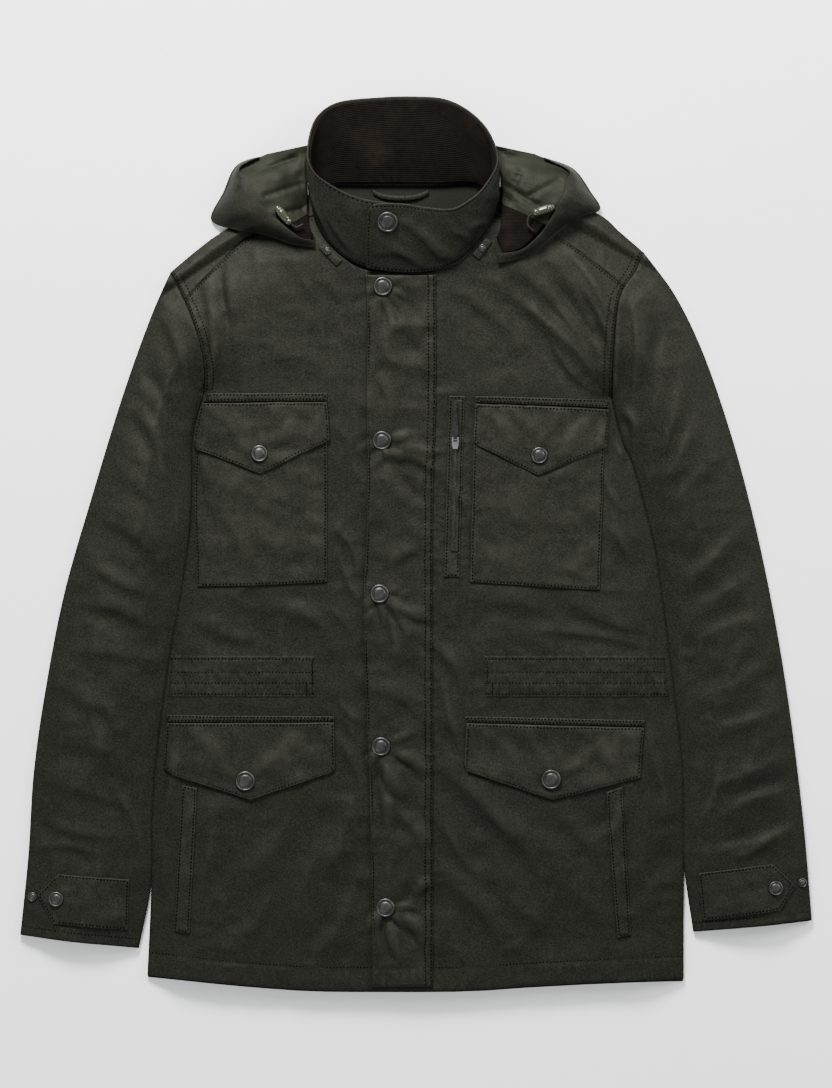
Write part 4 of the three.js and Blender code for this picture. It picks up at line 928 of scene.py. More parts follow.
def back_panel():
    """The back, flat on what the jacket lies on, and a little wavy inside."""
    hem_drop = 2.5
    below = lambda line: lambda t: line(t) - np.stack([0 * t, np.full_like(t, hem_drop)], -1)
    left = joined(curve(armhole_right), curve(side_right), 0.2)
    right = joined(curve(armhole_left), curve(side_left), 0.2)
    top = chain([*curve(shoulder_right)(steps(8)), *(curve(back_neck)(steps(8))[1:-1] + (0, 5)), back_neck[-1],
                 *curve(shoulder_left)(steps(8))[::-1][1:]])
    hem = chain([*curve(hem_right)(steps(10)), *curve(hem_left)(steps(10))[::-1][1:]])
    us, vs = fine_steps(500, 6), fine_steps(700, 6)
    flat = net(top, hem, left, right, us, vs)
    flat = flat - np.stack([0 * flat[..., 0], hem_drop * smooth((-405 - flat[..., 1]) / 25)], -1)
    x, y = flat[..., 0], flat[..., 1]
    wave = 0.35 * sample(rumple(30, 91), x, y) * np.minimum(1, vs[:, None] * 6)
    upper = np.stack([x, y, 1.55 + np.clip(wave, -0.5, 0.55)], -1)
    lower = np.stack([x, y, np.full_like(x, 0.05)], -1)
    points, faces, kinds, _ = closed(upper, lower, 0.35)
    made = piece("back_cloth", points, faces, ["waxed", "lining"],
                 np.where(kinds == 1, 0, 1), ["back"])
    declare(upper)
    return made


def tube(outer, inner):
    """A sleeve's cloth between two stacks of rings. Kinds: 0 outside and the rims, 1 inside."""
    rows, count = outer.shape[:2]
    points = np.vstack([outer.reshape(-1, 3), inner.reshape(-1, 3)])
    a = (np.arange(rows - 1)[:, None] * count + np.arange(count)[None]).ravel()
    b = (np.arange(rows - 1)[:, None] * count + (np.arange(count)[None] + 1) % count).ravel()
    walls = np.stack([a, b, b + count, a + count], -1)
    inside = walls[:, ::-1] + rows * count
    i = np.arange(count)
    k = (i + 1) % count
    first = np.stack([i, i + rows * count, k + rows * count, k], -1)
    last = (rows - 1) * count
    end = np.stack([last + i, last + k, last + rows * count + k, last + rows * count + i], -1)
    faces = np.vstack([walls, inside, first, end])
    kinds = np.concatenate([np.zeros(len(walls)), np.ones(len(inside)), np.zeros(2 * count)])
    return points, turned_out(points, faces), kinds


def sleeve(name, armhole, down, cuff, outer, inner, towards, node_name):
    apart, gap = towards * 0.4, towards * 0.3
    line = curve(armhole)
    ends = moved(joined(part(line, 0, down), part(line, down, 1), 3 / 8), gap, 0)
    seam = moved(curve(inner), apart, 0)
    rim = lambda t: curve(cuff)(t) + np.stack([apart * t, 0 * t], -1)
    edge = lambda t: curve(outer)(t) + np.stack([gap * (1 - t), 0 * t], -1)
    us, vs = np.linspace(0, 1, 46), np.linspace(0, 1, 250)
    flat = net(ends, rim, edge, seam, us, vs)
    over, normal = lifted(flat, 0)
    under = over[:, ::-1].copy()
    waves = np.clip(0.25 * sample(rumple(24, 93), under[..., 0], under[..., 1]), -0.25, 0.4)
    under[..., 2] = 0.3 + waves

    def fold(top, bottom, neighbour):
        """The rounded fold from the upper layer to the one beneath."""
        way = top - neighbour
        way[:, 2] = 0
        way /= np.linalg.norm(way, axis=1, keepdims=True)
        return [top * (1 - t) + bottom * t + way * bulge for t, bulge in ((0.25, 0.7), (0.55, 0.9), (0.8, 0.5))]

    into = np.minimum(1, np.arange(len(vs)) / 8)[:, None, None]
    shift = np.concatenate([flat[:, 1:2] - flat[:, 0:1], flat[:, -2:-1] - flat[:, -1:]], 1)
    shift /= np.linalg.norm(shift, axis=2, keepdims=True)
    under[:, -1, :2] += 0.8 * shift[:, 0] * into[:, 0]
    under[:, 0, :2] += 0.8 * shift[:, 1] * into[:, 0]
    near = fold(over[:, -1], under[:, 0], over[:, -3])
    far = fold(under[:, -1], over[:, 0], under[:, -3])
    ring = np.concatenate([over, np.stack(near, 1), under[:, :], np.stack(far, 1)], 1)
    count = ring.shape[1]
    around = np.roll(ring, -1, 1) - np.roll(ring, 1, 1)
    along = np.gradient(ring, axis=0)
    out = np.cross(along, around)
    out /= np.maximum(np.linalg.norm(out, axis=-1, keepdims=True), 1e-9)
    if out[:, 20, 2].mean() < 0:
        out = -out
    inside = ring - out * np.minimum(CLOTH, 1.0)
    points, faces, kinds = tube(ring, inside)
    wear = np.concatenate([panel_wear(over), np.zeros((len(vs), count - over.shape[1]))], 1)
    made = piece(name, points, faces, ["waxed", "lining"], kinds, [node_name],
                 np.concatenate([wear.ravel(), wear.ravel()]))
    width = float(np.linalg.norm(np.diff(ring, axis=1), axis=-1).sum(1).max())
    long = float(np.linalg.norm(np.diff(ring, axis=0), axis=-1).sum(0).max())
    return made


front("front_right_cloth", forward_seam_right, SEAM_DOWN_RIGHT, neck_right, armhole_right, side_right, hem_right,
      1, "front_right")
front("front_left_cloth", forward_seam_left, SEAM_DOWN_LEFT, neck_left, armhole_left, side_left, hem_left,
      -1, "front_left")
shoulder("shoulder_right_cloth", shoulder_right, forward_seam_right, SEAM_DOWN_RIGHT, armhole_right,
         "shoulder_right")
shoulder("shoulder_left_cloth", shoulder_left, forward_seam_left, SEAM_DOWN_LEFT, armhole_left, "shoulder_left")
back_panel()
sleeve("sleeve_right_cloth", armhole_right, SEAM_DOWN_RIGHT, cuff_right, sleeve_right_outer, sleeve_right_inner,
       -1, "sleeve_right")
sleeve("sleeve_left_cloth", armhole_left, SEAM_DOWN_LEFT, cuff_left, sleeve_left_outer, sleeve_left_inner,
       1, "sleeve_left")


# Pieces sewn on the panels
RIM = (0.3, 0.8, 1.5, 2.3, 3.2, 4.4)  # the first rows of a net, in from its edge


def across_steps(length, spacing=FINE, knots=0):
    """Shares of a length, closer together near both ends, with the corners of an edge kept."""
    if length < 18:
        made = 0.5 - 0.5 * np.cos(math.pi * steps(max(8, int(length / 1.1))))
    else:
        ends = np.array([0, *RIM]) / length
        middle = np.linspace(ends[-1], 1 - ends[-1], max(3, int((length - 2 * RIM[-1]) / spacing) + 1))
        made = np.concatenate([ends[:-1], middle, 1 - ends[-2::-1]])
    if knots > 2:
        corners = steps(knots - 1)[1:-1]
        made = made[[np.abs(corners - m).min() > 0.004 for m in made]]
        made = np.sort(np.concatenate([made, corners]))
    return made


def in_from(grid, axis):
    """How far each point of a net is from the two borders that it runs between."""
    gap = np.linalg.norm(np.diff(grid, axis=axis), axis=-1)
    first = np.zeros_like(np.take(gap, [0], axis))
    way = np.concatenate([first, np.cumsum(gap, axis)], axis)
    return way, np.take(way, [-1], axis) - way


def from_border(grid):
    left, right = in_from(grid, 1)
    top, bottom = in_from(grid, 0)
    return np.minimum(np.minimum(left, right), np.minimum(top, bottom))


OWN = {}  # the relief of each sewn-on piece, which its stitches follow


def sewn_on(name, off, thick, top, bottom, left=None, right=None, own=None, free=None,
            finish_name="trim", line=chain, rim=1.4, groove=2.0, sunk=0.28, spacing=FINE, edge_wear=0.75):
    """A piece on the panels: its four edges, how far it lies off the cloth and how thick it is. own is the
    relief it has besides the cloth's under it, and free lifts it along its lower edge."""
    left = left or [top[0], bottom[0]]
    right = right or [top[-1], bottom[-1]]
    edges = [line(each) if len(each) > 2 else chain(each) for each in (top, bottom, left, right)]
    wide = max(length_of(edges[0]), length_of(edges[1]))
    tall = max(length_of(edges[2]), length_of(edges[3]))
    corner = lambda a, b: max(len(a), len(b)) if line is chain else 0
    us = across_steps(wide, spacing, corner(top, bottom))
    vs = across_steps(tall, spacing, corner(left, right))
    flat = net(*edges, us, vs)
    border = from_border(flat)
    OWN[name] = own
    full = np.sqrt(1 - (1 - np.minimum(1, border / rim)) ** 2)
    raised = off + thick * (0.12 + 0.88 * full) - sunk * np.exp(-((border - groove) / 0.75) ** 2)
    below = np.full(border.shape, float(off))
    if own is not None:
        shift = sample(own, flat[..., 0], flat[..., 1]) * np.minimum(1, 0.25 + border / 6)
        raised = raised + np.maximum(shift, -0.3)
        below = below + np.maximum(shift, 0) * np.minimum(1, border / 3)
    if free is not None:
        curl = free * smooth(1 - in_from(flat, 0)[1] / 16) * (0.6 + 0.4 * np.sin(flat[..., 0] / 9.0))
        raised, below = raised + curl, below + curl
    upper, _ = lifted(flat, raised)
    under, _ = lifted(flat, below)
    points, faces, kinds, _ = closed(upper, under, 0.25)
    rubbed = np.clip(worn_at(flat) + edge_wear * np.exp(-((border - 0.5) / 0.8) ** 2)
                     + (0 if own is None else 0.7 * np.maximum(sample(own, flat[..., 0], flat[..., 1]), 0)), 0, 1)
    made = piece(name + "_cloth", points, faces, [finish_name], None, [name],
                 spread_over(rubbed, upper.shape))
    declare(upper)
    return made


def worn_at(flat):
    return sample(proud, flat[..., 0], flat[..., 1])


def own_relief(seed, rise, stars=(), folds=(), rows=()):
    """The relief of one sewn-on piece: its own rumple, the puckers round its studs and along its stitches."""
    made = rise * (0.5 * rumple(17, seed) + 0.16 * rumple(5, seed + 2)) + ridged(22, seed + 1, 1.3 * rise)
    for at, radius, count, first, span in stars:
        star(made, np.array(at, float), radius, seed + 3, 0.9, count, first, span)
    for fold in folds:
        crease(made, *fold)
    for k, row in enumerate(rows):
        puckers(made, row, seed + 5 + k, 0.32, 7, 5.5)
    return made


OVER_POCKET = 2.4 * LAY
ON_POCKET = 2 * LAY + PATCH

chest_pocket_right_left = [(-208, 133), (-214, 103), (-215.5, 40), (-213, -42.6)]
sewn_on("chest_pocket_right", LAY, PATCH, [(-208, 133), (-86, 137)], [(-213, -42.6), (-159, -41.6), (-86, -38)],
        left=chest_pocket_right_left,
        own=own_relief(101, 0.56, folds=[((-200, 40), (-160, -20), 9, 0.7, 0.1), ((-110, 60), (-100, -26), 9, 0.5, 0.1),
                                         ((-190, 60), (-120, 34), 10, 0.4, 0.1), ((-150, 12), (-110, -30), 8, 0.5)],
                       rows=[chest_pocket_right_left, [(-213, -40), (-86, -36)], [(-88, 137), (-88, -38)]]))
sewn_on("chest_pocket_left", LAY, PATCH, [(58, 131), (186, 131)], [(53.5, -38), (168, -45.5), (181, -45.6)],
        own=own_relief(111, 0.56, folds=[((70, 60), (110, 0), 9, 0.6, 0.1), ((120, 40), (168, -24), 9, 0.6, 0.1),
                                         ((138, -20), (174, -42), 6, 1.1, 0.1), ((64, -4), (120, -30), 9, 0.4)],
                       rows=[[(58, 131), (55, -36)], [(56, -36), (180, -43)], [(184, 131), (179, -43)]]))
sewn_on("chest_flap_right", ON_POCKET, PATCH, [(-207, 137), (-150, 138), (-86, 138.5)],
        [(-211.5, 91.5), (-151, 68), (-83.5, 101)], left=[(-207, 137), (-213, 117), (-215.5, 98), (-211.5, 91.5)],
        right=[(-86, 138.5), (-84.3, 117), (-83.5, 101)], free=0.5,
        own=own_relief(121, 0.55, [((-152, 87.7), 18, 8, 0.2, 2.7)],
                       [((-198, 130), (-168, 94), 5, 1.2, 0.1), ((-112, 130), (-130, 98), 5, 1.1, -0.1),
                        ((-180, 134), (-150, 104), 4.5, 0.8, -0.1), ((-96, 128), (-104, 104), 4, 0.8, 0.1)]))
sewn_on("chest_flap_left", ON_POCKET, PATCH, [(59, 137), (121, 134.5), (189, 131.5)],
        [(61, 96), (120.5, 66), (186, 94)], left=[(59, 137), (57, 101), (61, 96)],
        right=[(189, 131.5), (188, 116), (186, 94)], free=0.5,
        own=own_relief(131, 0.55, [((121.5, 86.3), 18, 8, 0.2, 2.7)],
                       [((66, 130), (100, 92), 5, 1.3, 0.1), ((172, 124), (146, 94), 5, 1.2, -0.1),
                        ((92, 132), (116, 104), 4.5, 0.9, 0.1), ((182, 122), (176, 98), 4, 0.8, 0.1)]))
sewn_on("chest_band_right", OVER_POCKET, PATCH, [(-202, 147), (-86, 147.5)], [(-207, 138.4), (-86, 139.4)],
        own=own_relief(141, 0.2), sunk=0.4, groove=1.8)
sewn_on("chest_band_left", OVER_POCKET, PATCH, [(59, 144.6), (189, 140.8)], [(59, 137.9), (190, 132.6)],
        own=own_relief(145, 0.2), sunk=0.4, groove=1.8)
sewn_on("lower_band_right", LAY, PATCH, [(-243, -168), (-79, -169)], [(-243, -175.2), (-79, -174.3)],
        own=own_relief(151, 0.2), sunk=0.4, groove=1.6)
sewn_on("lower_band_left", LAY, PATCH, [(48, -169), (225, -173)], [(50, -174.9), (224.4, -179.6)],
        own=own_relief(155, 0.2), sunk=0.4, groove=1.6)
sewn_on("lower_flap_right", LAY, 2.0, [(-243, -175.9), (-160, -175.5), (-79, -174.9)],
        [(-235, -227.4), (-161, -251.4), (-83.3, -224.9)], left=[(-243, -175.9), (-246, -219.5), (-235, -227.4)],
        right=[(-79, -174.9), (-78, -221), (-83.3, -224.9)], free=0.7,
        own=own_relief(161, 0.56, [((-166, -232.2), 22, 9, 0.1, 2.9)],
                       [((-150, -224), (-108, -188), 5.5, 1.5, 0.05), ((-138, -216), (-94, -200), 5, 1.2, -0.05),
                        ((-226, -182), (-188, -218), 6, 1.2, 0.1), ((-120, -182), (-128, -214), 5, 0.9)]))
sewn_on("lower_flap_left", LAY, 2.0, [(50, -175.5), (135, -178), (224.4, -180.3)],
        [(51, -223.4), (135, -251.4), (220.5, -229.8)], left=[(50, -175.5), (48, -217), (51, -223.4)],
        right=[(224.4, -180.3), (222, -206), (220.5, -229.8)], free=0.7,
        own=own_relief(171, 0.56, [((133.6, -230.6), 22, 9, 0.1, 2.9)],
                       [((66, -184), (100, -218), 6, 1.3, 0.1), ((174, -186), (202, -218), 6, 1.1, -0.1),
                        ((110, -186), (126, -216), 5, 0.9, 0.05), ((190, -188), (150, -222), 5, 1.0)]))
sewn_on("welt_right", LAY, PATCH, [(-228, -236.7), (-213, -239.6)], [(-236, -379.8), (-220.5, -382.7)],
        own=own_relief(181, 0.3), groove=1.9, sunk=0.35)
sewn_on("welt_left", LAY, PATCH, [(187, -243.5), (203, -237.7)], [(198, -386.6), (211.7, -383.7)],
        own=own_relief(185, 0.3), groove=1.9, sunk=0.35)


def tunnel_relief(side, seed):
    made = own_relief(seed, 0.25)
    for row in TUNNEL_ROWS[side]:
        puckers(made, row, seed + 3 + int(-row[0][1]), 0.5, 9, 5)
        seam_groove(made, row, 0.55, 1.2)
    return made


sewn_on("tunnel_right", 0.15, 0.6, [(-237, -110), (-98, -110)], [(-242, -150.4), (-98, -150.4)],
        own=tunnel_relief("right", 191), rim=5.0, groove=6.0, sunk=0.1, spacing=2.0,
        edge_wear=0.0, finish_name="waxed")
sewn_on("tunnel_left", 0.15, 0.6, [(67.6, -110), (244, -110)], [(67.6, -150.4), (249, -150.4)],
        own=tunnel_relief("left", 201), rim=5.0, groove=6.0, sunk=0.1, spacing=2.0,
        edge_wear=0.0, finish_name="waxed")
sewn_on("zip_panel", LAY, 1.0, [(33.3, 144.6), (49, 144.6)], [(28.4, -32.8), (43.1, -32.8)],
        own=own_relief(211, 0.25), groove=1.8, sunk=0.3)
sewn_on("zip_tape", LAY + 1 + SEAM, 1.0, [(39.6, 140.6), (46.6, 140.6)], [(34.7, -8.3), (41.7, -8.3)],
        own=own_relief(215, 0.15), groove=1.6, sunk=0.2)
sewn_on("cuff_tab_right", LAY, PATCH, [(-350, -324), (-280, -329)], [(-354, -373), (-282, -379)],
        left=[(-350, -324), (-370, -344.5), (-354, -373)],
        own=own_relief(221, 0.35, [((-351, -348.4), 12, 5, -1.2, 2.4)]))
sewn_on("cuff_tab_left", LAY, PATCH, [(278, -323), (350, -314)], [(283, -370), (357, -360)],
        right=[(350, -314), (373, -335.5), (357, -360)],
        own=own_relief(225, 0.35, [((352.8, -337.6), 12, 5, 2.0, 2.4)]))
sewn_on("hood_tab_right", LAY, PATCH, [(-88.4, 293.6), (-71, 276.5)], [(-94, 288.5), (-77, 271)],
        own=own_relief(231, 0.2), groove=1.6)
sewn_on("hood_tab_left", LAY, PATCH, [(69, 299.5), (56, 283)], [(75.5, 295), (62.5, 277.5)],
        own=own_relief(235, 0.2), groove=1.6)

PLACKET = 2.6


def storm_flap():
    """The storm flap over the front's edge: sewn down on the wearer's left and free on the right."""
    free_line, sewn_line = curve(PLACKET_FREE), curve(PLACKET_SEWN)
    us, vs = across_steps(67, 2.2), across_steps(697, 2.6)
    top = chain([free_line(np.array([0.0]))[0], sewn_line(np.array([0.0]))[0]])
    bottom = chain([free_line(np.array([1.0]))[0], sewn_line(np.array([1.0]))[0]])
    flat = net(top, bottom, free_line, sewn_line, us, vs)
    own = own_relief(241, 0.5)
    OWN["placket"] = own
    for k, at in enumerate(PLACKET_STUDS):
        star(own, np.array(at, float), 24, 250 + k, 1.3, 10, -2.9, 3.6)
    for fold in CREASES[18:34]:
        crease(own, *fold[:3], fold[3] * 0.5, *fold[4:])
    puckers(own, [(13, 258), (13, 145), (10.5, 23), (10.5, -430)], 261, 0.5, 9, 6.5)
    puckers(own, [(-44, 258), (-43, 72), (-45, -60), (-41, -230), (-38, -430)], 262, 0.4, 8, 8)
    from_free, from_sewn = in_from(flat, 1)
    ends = np.minimum(*in_from(flat, 0))
    border = np.minimum(np.minimum(from_free, from_sewn), ends)
    full = np.sqrt(1 - (1 - np.minimum(1, border / 2.2)) ** 2)
    rows = sum(0.42 * np.exp(-((from_sewn - at) / 0.8) ** 2) for at in (1.8, 7.6))
    rows = rows + 0.3 * np.exp(-((from_free - 2.4) / 0.8) ** 2)
    shift = sample(own, flat[..., 0], flat[..., 1]) * np.minimum(1, 0.2 + border / 7)
    wave = 0.55 * smooth(1 - from_free / 14) * (1 + np.sin(flat[..., 1] / 17.0 + np.sin(flat[..., 1] / 41.0)))
    raised = LAY + PLACKET * (0.1 + 0.9 * full) - rows + np.maximum(shift, -0.8) + wave
    upper, _ = lifted(flat, raised)
    under, _ = lifted(flat, LAY + wave * np.minimum(1, from_free / 2))
    points, faces, _, _ = closed(upper, under, 0.25)
    rubbed = np.clip(worn_at(flat) + 0.6 * np.exp(-((border - 0.5) / 0.8) ** 2) + 0.5 * np.maximum(shift, 0), 0, 1)
    made = piece("storm_flap_cloth", points, faces, ["waxed"], None, ["placket"],
                 spread_over(rubbed, upper.shape))
    declare(upper)


storm_flap()


# Collar, from its hidden end round the wearer's right and the back to the end on top.
# Columns: foot x and y, lift of the foot, then top edge x, y and z, on the outer face
COLLAR = np.array([
    [16, 267, 0, 14, 328, 44.5], [-16, 267, 0, -18, 331, 45], [-52, 272, 0, -58, 338, 46],
    [-75, 285, 0, -92, 356, 46], [-91, 302, 0, -104.5, 373, 44], [-99, 322, 0, -104.5, 393, 37],
    [-97, 341, 0, -97, 417, 28], [-80, 350.5, 0.5, -76, 432, 21], [-47, 351, 0.2, -36, 437, 17],
    [-14, 351, 0.2, 0, 438, 16], [22, 351, 0.2, 31, 435, 18], [58, 352.5, 0.5, 57, 421, 24],
    [75, 341, 0, 75, 399, 32], [78, 323, 0, 81, 372, 41], [70, 305, 0.4, 66, 346, 47],
    [56, 288, 1.6, 52, 334, 49.5], [39, 274, 3.4, 36, 326, 50], [14, 266, 3.8, 14, 327, 49.5],
    [-15, 265, 3.8, -14, 331, 49.5], [-47.5, 269, 3.8, -46, 331, 49]])
ROW_LONG = 27.4
STAND_TALL = 65
WALL = 2.2  # two layers, as the collar and the hood are sewn

COLLAR_CREASES = [
    # on the flat pattern: along from the hidden end, and up from the foot
    ((452, 6), (492, 52), 5, 1.5, 0.08, 0.5), ((436, 4), (470, 40), 6, 1.2, -0.06, 0.5),
    ((470, 2), (508, 30), 4, 1.3, 0.05, 0.5), ((410, 8), (446, 44), 5, 1.0, 0.08, 0.4),
    ((398, 20), (430, 56), 5, 0.9, -0.06, 0.5), ((380, 6), (410, 34), 4, 0.9, 0.06, 0.5),
    ((352, 10), (382, 50), 5, 0.8, 0.05, 0.5), ((486, 18), (516, 16), 4, 0.9, 0.1, 0.4),
    ((498, 34), (518, 56), 4, 0.6, 0.1, 0.4), ((60, 8), (84, 40), 5, 0.9, -0.06, 0.5),
    ((88, 10), (120, 46), 6, 0.9, 0.06, 0.5), ((110, 6), (142, 30), 4, 0.7, 0.08, 0.4),
    ((330, 30), (356, 60), 5, 0.6, 0.05, 0.5), ((36, 12), (58, 52), 6, 0.6, 0.05, 0.4),
]


def along_rows(table, at):
    """A table's rows at whole or part numbers, on a smooth curve through them."""
    i = np.clip(at.astype(int), 0, len(table) - 2)
    f = (at - i)[:, None]
    padded = np.vstack([2 * table[0] - table[1], table, 2 * table[-1] - table[-2]])
    a, b, c, d = (padded[i + k] for k in range(4))
    return b + 0.5 * f * (c - a + f * (2 * a - 5 * b + 4 * c - d + f * (3 * (b - c) + d - a)))


def collar_face(rows, ups):
    """The collar's outer face, for shares up from foot to top that may differ from row to row."""
    foot = np.where(COLLAR[:, 1] > 343, WALL + LAY, sample(lie, COLLAR[:, 0], COLLAR[:, 1]) + 1.3) + COLLAR[:, 2]
    table = along_rows(np.column_stack([COLLAR[:, :2], foot, COLLAR[:, 3:]]), rows)
    x, y, z, top_x, top_y, top_z = (table[:, k][None] for k in range(6))
    full = 3 * np.sin(math.pi * ups)
    out_x, out_y = (x + top_x) / 2 + 14, (y + top_y) / 2 - 350
    away = np.hypot(out_x, out_y)
    return np.stack([x + (top_x - x) * ups + out_x / away * full, y + (top_y - y) * ups + out_y / away * full,
                     z + (top_z - z) * ups + full * 0.5], -1)


def offset_in(grid, off):
    inward = np.cross(np.gradient(grid, axis=1), np.gradient(grid, axis=0))
    inward /= np.maximum(np.linalg.norm(inward, axis=-1, keepdims=True), 1e-9)
    return grid + inward * np.asarray(off, float)[..., None]


def collar_net():
    last = len(COLLAR) - 1
    rows = np.concatenate([across_steps(last * ROW_LONG, 3.0)]) * last
    ups = across_steps(STAND_TALL, 2.2)[:, None] * np.ones((1, len(rows)))
    corner = 9.0
    for end in (0, last):
        past = np.clip(1 - np.abs(rows - end) * ROW_LONG / corner, 0, 1)
        ups *= 1 - corner / STAND_TALL * (1 - np.sqrt(1 - past ** 2)) * (1 if end else 0.6)
    return rows, ups


def collar_relief():
    made = 0.4 * rumple(24, 301) + 0.25 * rumple(11, 302) + 0.08 * rumple(5, 303)
    flat = lambda p: (p[0] - 260, p[1] - 32)
    for start, end, width, rise, bow, lean in COLLAR_CREASES:
        crease(made, flat(start), flat(end), 0.85 * width, 1.45 * rise, bow, lean)
    length = ROW_LONG * (len(COLLAR) - 1)
    puckers(made, [flat((4, 62)), flat((length - 4, 62))], 311, 0.3, 7, 8)
    puckers(made, [flat((4, 3)), flat((length - 4, 3))], 312, 0.4, 10, 8)
    star(made, np.array(flat((18.38 * ROW_LONG, 0.76 * STAND_TALL))), 15, 313, 0.6, 8)
    return made


def collar():
    rows, ups = collar_net()
    face = collar_face(rows, ups)
    made = collar_relief()
    flat_x, flat_y = ROW_LONG * rows[None] - 260 + 0 * ups, STAND_TALL * ups - 32
    border = from_border(face)
    full = np.sqrt(1 - (1 - np.minimum(1, border / 1.6)) ** 2)
    dip = 0.3 * np.exp(-((border - 2.2) / 0.8) ** 2)
    shift = sample(made, flat_x, flat_y) * np.minimum(1, 0.15 + border / 9)
    outer = offset_in(face, -(np.clip(shift, -0.7, 2.2) - dip) + 0.9 * (1 - full))
    inner = offset_in(face, WALL - 0.9 * (1 - full) - 0.3 * np.clip(shift, -0.7, 2.2))
    points, faces, _, _ = closed(outer, inner, 0.35)
    rubbed = np.clip(0.5 * np.maximum(shift, 0) + 0.7 * np.exp(-((border - 0.6) / 0.9) ** 2), 0, 1)
    shell = piece("stand_collar_cloth", points, faces, ["waxed"], None, ["collar"],
                  spread_over(rubbed, outer.shape))
    declare(outer)


def corduroy_facing():
    rows = 3 + 11 * across_steps(11 * ROW_LONG, 3.0)
    ups = (0.03 + 0.94 * across_steps(STAND_TALL, 2.0))[:, None] * np.ones((1, len(rows)))
    face = collar_face(rows, ups)
    flat_x, flat_y = ROW_LONG * rows[None] - 260 + 0 * ups, STAND_TALL * ups - 32
    border = from_border(face)
    full = np.sqrt(1 - (1 - np.minimum(1, border / 1.4)) ** 2)
    soft = 0.5 * rumple(30, 321) + 0.3 * rumple(13, 322)
    crease(soft, (-135, -25), (-122, 28), 5, 1.2, 0.05, 0.4)
    crease(soft, (86, -26), (72, 28), 5, 1.2, -0.05, 0.4)
    crease(soft, (-40, -28), (-20, -8), 6, 0.7, 0.1, 0.4)
    shift = sample(soft, flat_x, flat_y) * np.minimum(1, border / 6)
    near = offset_in(face, np.full(border.shape, WALL + 0.4))
    inner = offset_in(face, WALL + 0.4 + 1.4 * (0.15 + 0.85 * full) + np.clip(shift, -0.4, 1.4))
    points, faces, _, _ = closed(inner, near, 0.3)
    rubbed = np.clip(0.8 * np.maximum(shift, 0) + 0.6 * np.exp(-((border - 0.5) / 1.0) ** 2), 0, 1)
    shell = piece("collar_corduroy", points, faces, ["corduroy"], None, ["collar_facing"],
                  spread_over(rubbed, inner.shape),
                  spread_over(np.stack([flat_x, flat_y], -1).reshape(-1, 2), inner.shape))
    declare(inner)


collar()
corduroy_facing()

# Hood, folded down round the collar: a row for each section of a wing.
# Columns: x and y beside the collar, at the outline and at the opening's edge, and that edge's z
HOOD_RIGHT = np.array([
    [-98, 299, -98, 291, -99, 296, 27], [-103, 309, -120, 294, -112, 299, 30],
    [-105, 322, -150, 304, -126, 309, 31], [-105.5, 337, -178, 309, -143, 324, 31],
    [-106, 352, -199, 319, -158, 339, 29], [-107, 366, -187, 345, -168, 356, 24],
    [-106, 380, -174, 371, -171, 369, 15], [-104, 391, -146, 382, -146, 382, 11]], float)
HOOD_LEFT = np.array([
    [78, 296, 81, 275, 80, 283, 27], [83, 307, 102, 280, 102, 286, 30], [85, 319, 122, 291, 117, 297, 31],
    [85, 332, 141, 307, 129, 311, 32], [85, 345, 160, 320, 138, 327, 31], [84, 358, 180, 328, 145, 341, 29],
    [82, 370, 172, 345, 149, 355, 24], [80, 381, 153, 369, 150, 366, 15], [76, 391, 118, 382, 118, 382, 11]], float)
HOOD_REST = 1.8
HOOD_ROOM = 1.5


def ground(x, y, line):
    """The height that the hood lies on: the shoulder, and what is beyond the shoulder's edge."""
    edge = np.array(sorted(line))
    past = y - np.interp(x, edge[:, 0], edge[:, 1])
    return np.where(past < 0, sample(lie, x, y) + HOOD_REST, np.maximum(0, EDGE + HOOD_REST - 0.3 * past))


def brim_height(row, share, line):
    low = ground(row[:, 2], row[:, 3], line)[:, None] + WALL + 0.8
    return low + (row[:, 6:7] - low) * np.sin(math.pi / 2 * share)


